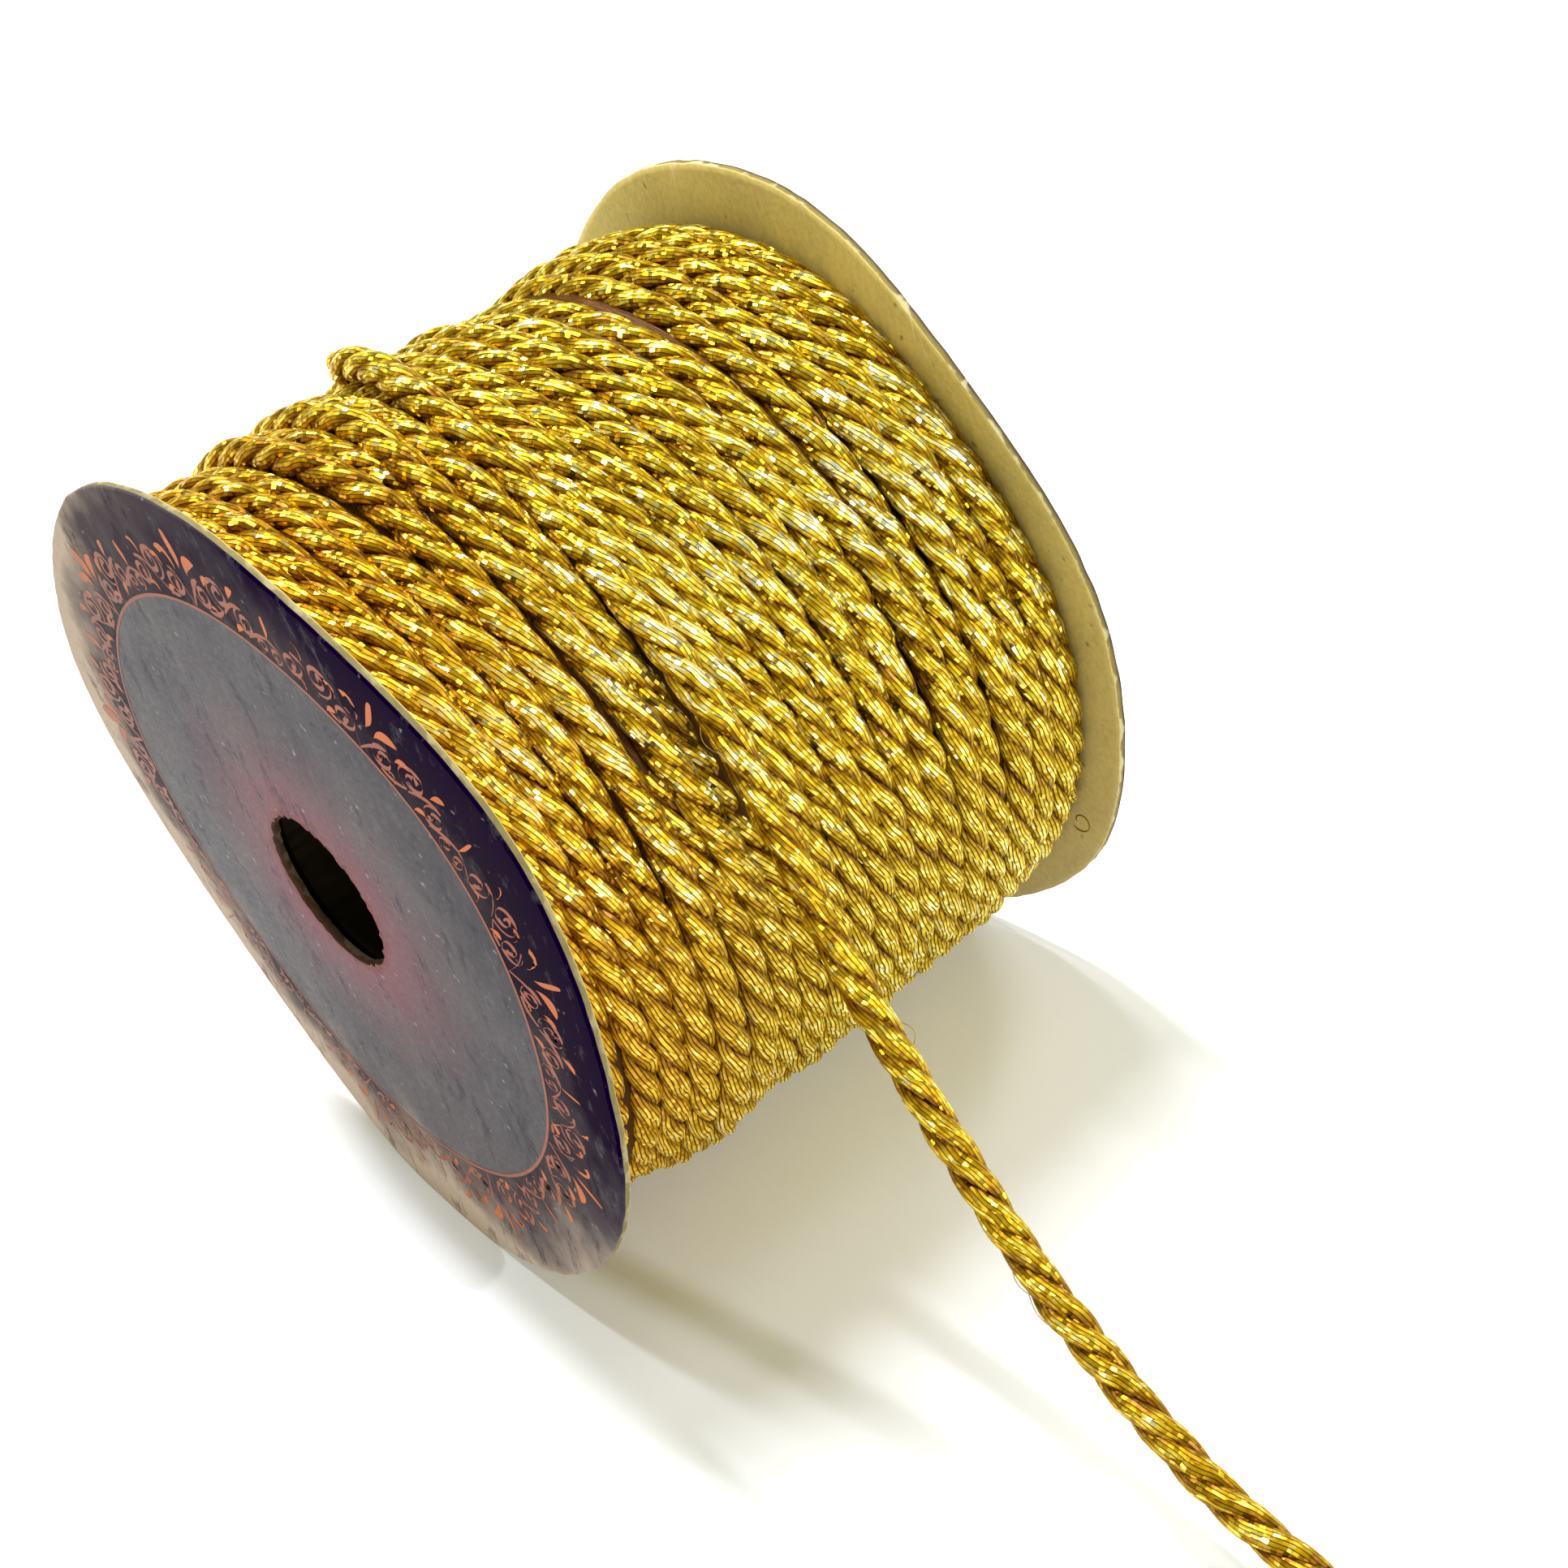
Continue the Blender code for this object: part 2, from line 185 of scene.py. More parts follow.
def strand_rings(path, points_round, seed):
    """Rings of points of the three strands twisted together along a path.

    Returns them by strand, place and point, with the matching texture places: how far along and
    round the strand, and how far out of the cord each point lies. The strands wander a little
    about the path, and are fuller in some places than in others.
    """
    _, normals, binormals = path_frames(path)
    lengths = path_lengths(path)
    per_mm = len(path) / lengths[-1]
    shared = 0.28 * smooth_noise(len(path), 22.0 * per_mm, seed)
    around = np.linspace(0.0, 2.0 * np.pi, points_round, endpoint=False)
    corners = np.linspace(0.0, 1.0, points_round + 1)
    rings, along_uv, depth_uv = [], [], []
    for k in range(STRANDS):
        fullness = 1.0 + 0.10 * smooth_noise(len(path), 4.5 * per_mm, seed + 11 * k + 1)
        phase = 2.0 * np.pi * (k / STRANDS - lengths / LAY) + shared
        phase += 0.15 * smooth_noise(len(path), 6.0 * per_mm, seed + 11 * k + 2)
        outward = np.cos(phase)[:, None] * normals + np.sin(phase)[:, None] * binormals
        centre = path + outward * (STRAND_CENTRE * (0.5 + 0.5 * fullness))[:, None]
        heading = unit(np.gradient(centre, axis=0))
        first = unit(outward - heading * np.sum(outward * heading, axis=1, keepdims=True))
        second = np.cross(heading, first)
        radial = (STRAND_OUT * fullness)[:, None] * np.cos(around)[None, :]
        sideways = (STRAND_ASIDE / np.sqrt(fullness))[:, None] * np.sin(around)[None, :]
        rings.append(centre[:, None, :] + radial[..., None] * first[:, None, :]
                     + sideways[..., None] * second[:, None, :])
        lines = corners[None, :] - FILAMENT_TWIST * (lengths / LAY)[:, None]
        along = np.repeat(lengths[:, None] + 37.0 * k, points_round + 1, axis=1)
        along_uv.append(np.stack([along, lines], axis=-1))
        depth = np.repeat(0.5 + 0.5 * np.cos(2.0 * np.pi * corners)[None, :], len(path), axis=0)
        depth_uv.append(np.stack([depth, np.full_like(depth, (k + 0.5) / STRANDS)], axis=-1))
    return np.array(rings), np.array(along_uv), np.array(depth_uv)


def strands_mesh(name, rings, along_uv, depth_uv):
    strands, places, points_round, _ = rings.shape
    index = np.arange(strands * places * points_round).reshape(strands, places, points_round)
    ahead = np.roll(index, -1, axis=2)
    quads = np.stack([index[:, :-1], ahead[:, :-1], ahead[:, 1:], index[:, 1:]], axis=-1)

    def corners(uv):
        around = [uv[:, :-1, :-1], uv[:, :-1, 1:], uv[:, 1:, 1:], uv[:, 1:, :-1]]
        return np.stack(around, axis=-2).reshape(-1, 2)

    return quads_mesh(name, to_world(rings.reshape(-1, 3)), quads.reshape(-1, 4),
                      {"along": corners(along_uv), "depth": corners(depth_uv)})


def close_ends(rings):
    """Draws the outermost rings together, so that the cut ends are closed."""
    rings = rings.copy()
    for outer, inner in ((0, 1), (-1, -2)):
        middle = rings[:, inner].mean(axis=1, keepdims=True)
        rings[:, outer] = middle + 0.02 * (rings[:, inner] - middle)
    return rings


# ---- materials
def srgb(red, green, blue):
    def linear(value):
        value /= 255.0
        return value / 12.92 if value <= 0.04045 else ((value + 0.055) / 1.055) ** 2.4
    return linear(red), linear(green), linear(blue), 1.0


def grey(value):
    return value, value, value, 1.0


def scaled_tint(tint, factor):
    return tuple(min(c * factor, 1.0) for c in tint[:3]) + (1.0,)


class Nodes:
    """A small helper that builds a material's node tree."""

    def __init__(self, name):
        self.material = bpy.data.materials.new(name)
        self.material.use_nodes = True
        self.tree = self.material.node_tree

    def put(self, socket, value):
        if isinstance(value, bpy.types.NodeSocket):
            self.tree.links.new(value, socket)
        elif value is not None:
            socket.default_value = value

    def shade(self, settings):
        """Sets the shader's own sockets by their names, and returns the finished material."""
        for key, value in settings.items():
            self.put(self.tree.nodes["Principled BSDF"].inputs[key], value)
        return self.material

    def add(self, kind, settings=None, **inputs):
        node = self.tree.nodes.new(kind)
        for key, value in (settings or {}).items():
            setattr(node, key, value)
        for key, value in inputs.items():
            self.put(node.inputs[key], value)
        return node

    def place(self):
        return self.add("ShaderNodeTexCoord").outputs["Object"]

    def uv(self, name):
        return self.add("ShaderNodeUVMap", {"uv_map": name}).outputs[0]

    def split(self, vector):
        return self.add("ShaderNodeSeparateXYZ", Vector=vector).outputs

    def math(self, operation, a, b=None, c=None):
        node = self.add("ShaderNodeMath", {"operation": operation})
        for socket, value in zip(node.inputs, (a, b, c)):
            self.put(socket, value)
        return node.outputs[0]

    def times(self, a, b):
        return self.math("MULTIPLY", a, b)

    def times_plus(self, a, b, c):
        return self.math("MULTIPLY_ADD", a, b, c)

    def ramp(self, value, stops):
        """A colour for a value between 0 and 1. A stop that gives a number has that grey."""
        node = self.add("ShaderNodeValToRGB")
        elements = node.color_ramp.elements
        elements.remove(elements[1])
        for number, (place, colour) in enumerate(stops):
            element = elements.new(place) if number else elements[0]
            element.position = place
            element.color = colour if isinstance(colour, tuple) else grey(colour)
        self.put(node.inputs[0], value)
        return node.outputs[0]

    def mix(self, factor, a, b, blend="MIX"):
        node = self.add("ShaderNodeMix", {"data_type": "RGBA", "blend_type": blend})
        for socket, value in ((0, factor), (6, a), (7, b)):
            self.put(node.inputs[socket], value)
        return node.outputs[2]

    def noise(self, vector, stretch, detail, roughness=0.5):
        """Noise with one stretch for all axes, or one for each."""
        stretch = stretch if isinstance(stretch, tuple) else (stretch,) * 3
        vector = self.add("ShaderNodeMapping", Vector=vector, Scale=stretch).outputs[0]
        return self.add("ShaderNodeTexNoise", Vector=vector, Scale=1.0, Detail=detail,
                        Roughness=roughness).outputs[0]

    def bump(self, height, strength, distance):
        return self.add("ShaderNodeBump", Height=height, Strength=strength,
                        Distance=distance).outputs[0]

    def random(self, a, b):
        """Three random values that stay the same inside each whole-numbered cell."""
        vector = self.add("ShaderNodeCombineXYZ", X=a, Y=b).outputs[0]
        node = self.add("ShaderNodeTexWhiteNoise", {"noise_dimensions": "2D"}, Vector=vector)
        return self.add("ShaderNodeSeparateColor", Color=node.outputs["Color"]).outputs

    def vector_math(self, operation, a, b=None, scale=None):
        node = self.add("ShaderNodeVectorMath", {"operation": operation})
        self.put(node.inputs[0], a)
        self.put(node.inputs[1], b)
        if scale is not None:
            self.put(node.inputs["Scale"], scale)
        return node.outputs[0]


FILAMENTS = 16.0  # filament lines round a strand
FOILS_PER_MM = 2.2  # pieces of foil along a filament
TRAILING_SIDE = -0.0445  # beyond this place, in metres, the cord hangs free
TRAILING_HEIGHT = 0.50  # and looks as the roll does at this height at least
# Painted light: the gold is made brighter or darker by its height on the roll, as the lights fall
# on it.
# Heights above the floor are in tenths of a metre.
PAINTED_LIGHT_AT_HEIGHT = ((0.25, 0.80), (0.38, 0.46), (0.50, 0.40), (0.62, 0.56), (0.72, 0.98), (0.84, 0.20))
# Low on the roll the foil is matt, glints less and its colour is evener, with fewer of the pale
# painted glints.
MATT_AT = ((0.42, 1.0), (0.56, 0.0))
# Painted shade: the gold darkens towards the creases between its strands.
PAINTED_CREASE_SHADE = ((0.37, srgb(104, 56, 2)), (0.45, srgb(168, 122, 26)), (0.54, 1.0))
# Painted shade: a dark line in the gap between each filament and the next.
PAINTED_FILAMENT_GAP_SHADE = ((0.35, 1.0), (0.44, srgb(86, 50, 0)))
LABEL_SIDE_TINT = ((0.0, srgb(255, 230, 168)), (0.85, 1.0))


def foil_cells(n, along):
    """A point's place across its filament, and random values of the filament and its foil."""
    length, turn, _ = n.split(along)
    drift = n.noise(along, (0.30, 2.0, 1.0), 1.0)
    lines = n.times_plus(turn, FILAMENTS, n.times(drift, 2.4))
    filament = n.math("FLOOR", lines)
    own = n.random(filament, 0.5)
    piece = n.math("FLOOR", n.times_plus(length, FOILS_PER_MM, n.times(own[0], 9.0)))
    return n.math("FRACT", lines), own, n.random(filament, piece)


def roll_zones(n, patches):
    """The painted light on the gold at a height on the roll, how matt the gold is there, and its
    tint along the roll.
    """
    x, y, z = n.split(n.place())
    height = n.times_plus(z, 10.0, n.times_plus(patches, 0.16, -0.08))
    trailing = n.math("LESS_THAN", y, TRAILING_SIDE)
    height = n.math("MAXIMUM", height, n.times(trailing, TRAILING_HEIGHT))
    # Painted light by height, a little less on the hanging cord.
    bright = n.times_plus(trailing, -0.16, n.ramp(height, PAINTED_LIGHT_AT_HEIGHT))
    matt = n.times(n.ramp(height, MATT_AT), n.times_plus(trailing, -0.8, 1.0))
    tint = n.ramp(n.times_plus(x, 30.0, 1.0), LABEL_SIDE_TINT)
    return bright, matt, tint


def foil_normal(n, along, inside, foil, glint):
    """The normal, tilted a little for each piece of foil and more for one that glints."""
    waves = n.noise(along, (0.55, 5.0, 1.0), 2.0, 0.6)
    across_tilt = n.math("ADD", n.times_plus(inside, 0.56, -0.28), n.times(
        n.math("SUBTRACT", foil[0], 0.5), n.times_plus(glint, 1.2, 0.28)))
    along_tilt = n.math("ADD", n.times_plus(waves, 0.44, -0.22), n.times(
        n.math("SUBTRACT", foil[1], 0.5), n.times_plus(glint, 0.8, 0.14)))
    normal = n.add("ShaderNodeNewGeometry").outputs["Normal"]
    tangent = n.add("ShaderNodeTangent", {"direction_type": "UV_MAP", "uv_map": "along"}).outputs[0]
    side = n.vector_math("NORMALIZE", n.vector_math("CROSS_PRODUCT", normal, tangent))
    tilted = n.vector_math(
        "ADD", n.vector_math("SCALE", normal, scale=n.math("COSINE", across_tilt)),
        n.vector_math("SCALE", side, scale=n.math("SINE", across_tilt)))
    tilted = n.vector_math("ADD", tilted, n.vector_math(
        "SCALE", tangent, scale=n.math("SINE", along_tilt)))
    return n.vector_math("NORMALIZE", tilted)


def foil_brightness(n, outward, own, foil, patches, bright, matt):
    """Where a point lies on the gold's ramp, with painted light on the strands' crests and by
    height: varied where the roll glitters, evener where matt.
    """
    # Painted highlight: foil is paler towards each strand's crest.
    wear_and_painted_sheen = n.times_plus(outward, 1.05, -0.80)
    lit = n.math("ADD", wear_and_painted_sheen, n.times_plus(bright, 0.34, -0.61))
    # The foils that glint are also painted paler, a painted glint.
    varied = n.math("ADD", n.times_plus(foil[2], 0.40, n.times(own[1], 0.30)),
                    n.times_plus(patches, 1.1, lit))
    # The even colour also carries the painted light by height and the painted crest highlight.
    even = n.times_plus(patches, 0.35, n.times_plus(bright, 0.30, -0.55))
    even = n.times_plus(foil[2], 0.30, n.times_plus(outward, 0.75, even))
    share = n.times(matt, 0.75)
    return n.math("ADD", n.times(even, share), n.times(varied, n.math("SUBTRACT", 1.0, share)))


def gold_material(name, tone, rough):
    """Fine flat metallic filaments along each strand, each piece of foil at its own slight tilt.

    tone is the ramp from dull to bright gold, and rough is how rough plain and glinting foil is.
    """
    n = Nodes(name)
    along = n.uv("along")
    outward = n.split(n.uv("depth"))[0]
    inside, own, foil = foil_cells(n, along)
    patches = n.noise(along, (0.45, 3.0, 1.0), 2.0, 0.6)
    bright, matt, tint = roll_zones(n, patches)
    glint = n.math("GREATER_THAN", foil[2], n.times_plus(matt, 0.3, 0.66))
    tilted = foil_normal(n, along, inside, foil, glint)
    colour = n.ramp(foil_brightness(n, outward, own, foil, patches, bright, matt), tone)
    # Painted shade in the creases between strands, a little deeper low on the roll.
    crease_shade = n.ramp(n.times_plus(matt, -0.035, outward), PAINTED_CREASE_SHADE)
    edge = n.math("ABSOLUTE", n.math("SUBTRACT", inside, 0.5))
    # Painted shade in the gaps between filaments, a little wider low on the roll.
    filament_gap_shade = n.ramp(n.times_plus(matt, 0.05, edge), PAINTED_FILAMENT_GAP_SHADE)
    for factor in (tint, crease_shade, filament_gap_shade):
        colour = n.mix(1.0, colour, factor, "MULTIPLY")
    finish = n.math("SUBTRACT", n.times_plus(glint, 0.5, 0.5), n.times(matt, 0.5))
    return n.shade({"Base Color": colour, "Metallic": 0.9, "Specular Tint": (1.0, 0.82, 0.30, 1.0),
                    "Roughness": n.ramp(finish, [(0.0, 0.62), (0.5, rough[0]), (1.0, rough[1])]),
                    "Normal": tilted, "Coat Weight": 0.18, "Coat Roughness": 0.28,
                    "Coat Normal": tilted})


def disc_place(n):
    """The place on the board, its distance from the spool's axis as a share of the rim's, and how
    far it lies towards +Y and above the axis."""
    place = n.place()
    _, y, z = n.split(place)
    out = n.times(y, 1.0 / (FLANGE_RADIUS * MM))
    up = n.times_plus(z, 1.0 / (FLANGE_RADIUS * MM), -AXIS_HEIGHT / FLANGE_RADIUS)
    reach = n.math("SQRT", n.math("ADD", n.times(out, out), n.times(up, up)))
    return place, reach, out, up


def board_material(name, tint):
    """Plain pressed card with fine fibres, specks, pale strokes and a soft cloudiness."""
    n = Nodes(name)
    place, reach, _, up = disc_place(n)
    fibre = n.noise(place, 1500.0, 4.0, 0.65)
    cloud = n.noise(place, 55.0, 3.0, 0.55)
    speck = n.noise(place, 520.0, 1.0, 0.5)
    colour = n.ramp(n.times_plus(fibre, 0.55, n.times(cloud, 0.45)), [
        (0.36, scaled_tint(tint, 0.80)), (0.52, tint), (0.70, scaled_tint(tint, 1.16))])
    colour = n.mix(n.ramp(speck, [(0.72, 0.0), (0.78, 0.6)]), colour, srgb(84, 62, 30))
    greyer = n.mix(1.0, colour, (0.93, 0.97, 1.60, 1.0), "MULTIPLY")
    low = n.ramp(n.times_plus(up, 0.5, 0.5), [(0.05, 1.0), (0.60, 0.0)])
    colour = n.mix(low, colour, greyer)
    stroke = n.noise(place, (200.0, 330.0, 60.0), 3.0, 0.7)
    stroke = n.times_plus(reach, 0.5, n.math("ADD", stroke, -0.46))
    colour = n.mix(n.ramp(stroke, [(0.66, 0.0), (0.74, 0.55)]), colour, srgb(222, 208, 160))
    return n.shade({"Base Color": colour, "Roughness": 0.85, "Specular IOR Level": 0.2,
                    "Normal": n.bump(fibre, 0.3, 0.00005)})


def edge_material(name, stops, wear_and_painted_sheen):
    """The board's cut edge, from its inner face to its outer one, worn paler in places."""
    n = Nodes(name)
    place = n.place()
    across = n.split(n.uv("board"))[0]
    fibre = n.noise(place, (2600.0, 700.0, 700.0), 4.0, 0.7)
    rag = n.noise(place, 260.0, 3.0, 0.6)
    colour = n.ramp(n.math("ADD", across, n.times_plus(rag, 0.5, -0.25)), stops)
    colour = n.mix(n.ramp(fibre, [(0.40, 0.35), (0.60, 0.0)]), colour,
                   scaled_tint(stops[0][1], 0.45))
    pale = n.ramp(n.times_plus(across, -0.22, rag), [(0.44, 0.0), (0.52, wear_and_painted_sheen)])
    return n.shade({"Base Color": n.mix(pale, colour, srgb(214, 202, 160)), "Roughness": 0.9,
                    "Specular IOR Level": 0.1, "Normal": n.bump(fibre, 0.6, 0.00008)})


def label_colour(n, place, reach, out, up, base):
    """Rubs a printed colour with cloudy haze, pale scratches, dark dirt and specks, and lays a
    painted sheen over it towards +Y, towards the bottom and towards the rim.
    """
    cloud = n.noise(place, 80.0, 4.0, 0.6)
    smear = n.noise(place, (150.0, 420.0, 210.0), 4.0, 0.7)
    rim = n.times(n.times(reach, reach), n.times(reach, reach))
    # Painted sheen: a pale veil towards +Y, towards the bottom and towards the rim.
    painted_sheen_and_rub = n.math("MAXIMUM", n.times(out, 0.74), n.times_plus(up, -0.90, -0.47))
    low = n.math("MAXIMUM", n.times(up, -1.0), 0.0)
    low_painted_sheen = n.times_plus(low, n.times_plus(rim, 0.22, 0.08), -0.13)
    haze = n.times_plus(cloud, 0.8, n.times_plus(rim, painted_sheen_and_rub, low_painted_sheen))
    colour = n.mix(n.ramp(haze, [(0.05, 0.0), (0.75, 0.85)]), base,
                   n.ramp(haze, [(0.45, srgb(112, 103, 104)), (0.75, srgb(196, 176, 162))]))
    colour = n.mix(n.ramp(smear, [(0.56, 0.0), (0.72, 0.45)]), colour, srgb(104, 102, 104))
    dirt = n.noise(place, (210.0, 330.0, 150.0), 5.0, 0.75)
    colour = n.mix(n.ramp(dirt, [(0.34, 0.55), (0.45, 0.0)]), colour, srgb(34, 28, 42))
    speck = n.noise(place, 900.0, 1.0, 0.5)
    return n.mix(n.ramp(speck, [(0.72, 0.0), (0.82, 0.7)]), colour, srgb(150, 150, 160))


def label_material(name, stops, gloss, rough):
    """Printed paper. stops is its colour by the distance from the spool's axis."""
    n = Nodes(name)
    place, reach, out, up = disc_place(n)
    grain = n.noise(place, 1600.0, 3.0, 0.7)
    wander = n.noise(place, 240.0, 2.0, 0.5)
    base = n.ramp(n.math("ADD", reach, n.times_plus(wander, 0.02, -0.01)), stops)
    return n.shade({"Base Color": label_colour(n, place, reach, out, up, base),
                    "Roughness": n.ramp(grain, [(0.3, rough - 0.1), (0.7, rough + 0.1)]),
                    "Specular IOR Level": gloss,
                    "Normal": n.bump(n.math("ADD", grain, wander), 0.3, 0.00004)})


def ink_material(name, tint, wear_and_painted_sheen):
    """Printed ink, rubbed paler in spots, with a painted sheen paling it towards +Y."""
    n = Nodes(name)
    place, _, out, up = disc_place(n)
    rub = n.noise(place, (1100.0, 500.0, 900.0), 3.0, 0.75)
    # Painted sheen paling the ink towards +Y, with real rubbing in spots.
    painted_sheen_and_rub = n.times_plus(out, 0.30, n.times_plus(up, -0.08, rub))
    colour = n.ramp(painted_sheen_and_rub, [(0.34, tint), (0.55, scaled_tint(tint, 0.8)), (0.80, wear_and_painted_sheen)])
    return n.shade({"Base Color": colour, "Roughness": 0.6, "Specular IOR Level": 0.25,
                    "Normal": n.bump(rub, 0.3, 0.00004)})


# Painted shade: the core's card is made near black, for the deep hole through the spool.
def painted_shade_core_material():
    n = Nodes("core_board")
    fibre = n.noise(n.place(), (160.0, 900.0, 900.0), 4.0, 0.6)
    colour = n.ramp(fibre, [(0.35, srgb(16, 11, 4)), (0.60, srgb(28, 21, 10))])
    return n.shade({"Base Color": colour, "Roughness": 0.95, "Specular IOR Level": 0.1,
                    "Normal": n.bump(fibre, 0.4, 0.0001)})


# The palest stops are painted highlight: cream gold reached on the crests, high on the roll and on
# glinting foil.
GOLD = gold_material("gold_cord", [
    (0.10, srgb(124, 82, 0)), (0.36, srgb(166, 128, 0)), (0.56, srgb(204, 170, 10)),
    (0.76, srgb(244, 226, 98)), (0.95, srgb(255, 252, 210))], (0.42, 0.24))
# Painted shade: a darker copy of the gold for the layer below, seen in the hollows between turns.
# The brown thread uses it too.
SHADED_GOLD_BELOW_AND_THREAD = gold_material("gold_cord_below_shaded_and_thread", [
    (0.10, srgb(100, 64, 0)), (0.85, srgb(160, 122, 6))], (0.6, 0.45))
BOARD_FACE = board_material("board", srgb(197, 177, 107))
FRONT_EDGE = edge_material("front_board_edge", [
    (0.0, srgb(128, 116, 76)), (1.0, srgb(122, 112, 84))], 0.25)
BACK_EDGE = edge_material("back_board_edge", [
    (0.0, srgb(150, 134, 78)), (0.45, srgb(126, 110, 68)), (0.75, srgb(72, 60, 52))], 0.6)
HOLE_EDGE = edge_material("hole_edge", [(0.0, srgb(70, 52, 34)), (1.0, srgb(84, 58, 48))], 0.10)
LABEL = label_material("printed_label", [
    (0.205, srgb(120, 22, 26)), (0.218, srgb(120, 56, 68)), (0.27, srgb(112, 60, 74)),
    (0.38, srgb(90, 62, 72)), (0.52, srgb(68, 62, 70)), (0.735, srgb(62, 58, 66))], 0.06, 0.5)
BAND = label_material("printed_label_band", [
    (0.74, srgb(44, 37, 50)), (0.84, srgb(40, 31, 46)), (0.99, srgb(32, 21, 45))], 0.0, 0.6)
LABEL_EDGE = label_material("printed_label_edge", [
    (0.9, srgb(14, 0, 42)), (1.0, srgb(12, 0, 38))], 0.0, 0.8)
INK = ink_material("orange_ink", srgb(194, 98, 34), srgb(146, 92, 74))
LINE_INK = ink_material("brown_ink", srgb(150, 80, 54), srgb(130, 86, 78))
PAINTED_SHADE_CORE = painted_shade_core_material()


# ---- last turn and loose end
LAST_TURN = (  # angle round the spool in degrees, place along it, lift off the layer
    (64.0, -4.6, 2.6),
    (74.0, -5.6, 2.5),
    (84.0, -6.5, 1.8),
    (96.0, -7.4, 0.9),
    (108.0, -8.0, 0.4),
    (120.0, -8.5, 0.6),
    (132.0, -9.0, 1.5),
    (144.0, -9.2, 2.9),
    (153.0, -9.25, 3.8),
)
LOOSE_ROUTE = (  # x, y and z from the middle of the spool's axis
    (-9.3, -40.53, 17.37),
    (-9.6, -44.2, 9.7),
    (-10.5, -48.6, 1.9),
    (-11.2, -53.8, -5.8),
    (-12.1, -60.8, -14.4),
    (-13.8, -70.6, -22.9),
    (-15.4, -81.8, -29.6),
    (-16.5, -95.2, -35.1),
    (-15.6, -109.5, -39.6),
    (-12.8, -123.5, -42.3),
    (-8.8, -136.8, -42.6),
)


def cord_piece(name, strands, part, replaces=()):
    """A length of cord from strand_rings' rings and texture places, as a piece of its own."""
    mesh = strands_mesh(name, *[values[:, part] for values in strands])
    return new_object(name, mesh, [GOLD], replaces)


wound = []
for angle, x, lift in LAST_TURN:
    angle, radius = math.radians(angle), TURN_CENTRE + lift
    wound.append((x, radius * math.cos(angle), radius * math.sin(angle)))
free_path = resample(catmull_rom(wound + list(LOOSE_ROUTE), 24), LAY / 26.0)
join = int(np.argmin(np.linalg.norm(free_path - np.array(LOOSE_ROUTE[0]), axis=1)))
free_rings, along_uv, depth_uv = strand_rings(free_path, 18, seed=5)
strands = close_ends(free_rings), along_uv, depth_uv
cord_piece("last_turn", strands, slice(0, join + 1))
loose_cord = cord_piece("loose_end", strands, slice(join, None), ["loose_cord"])


# ---- wound layer
CHART_ANGLES = (90.0, 105.0, 120.0, 135.0, 150.0, 165.0, 180.0, 200.0)
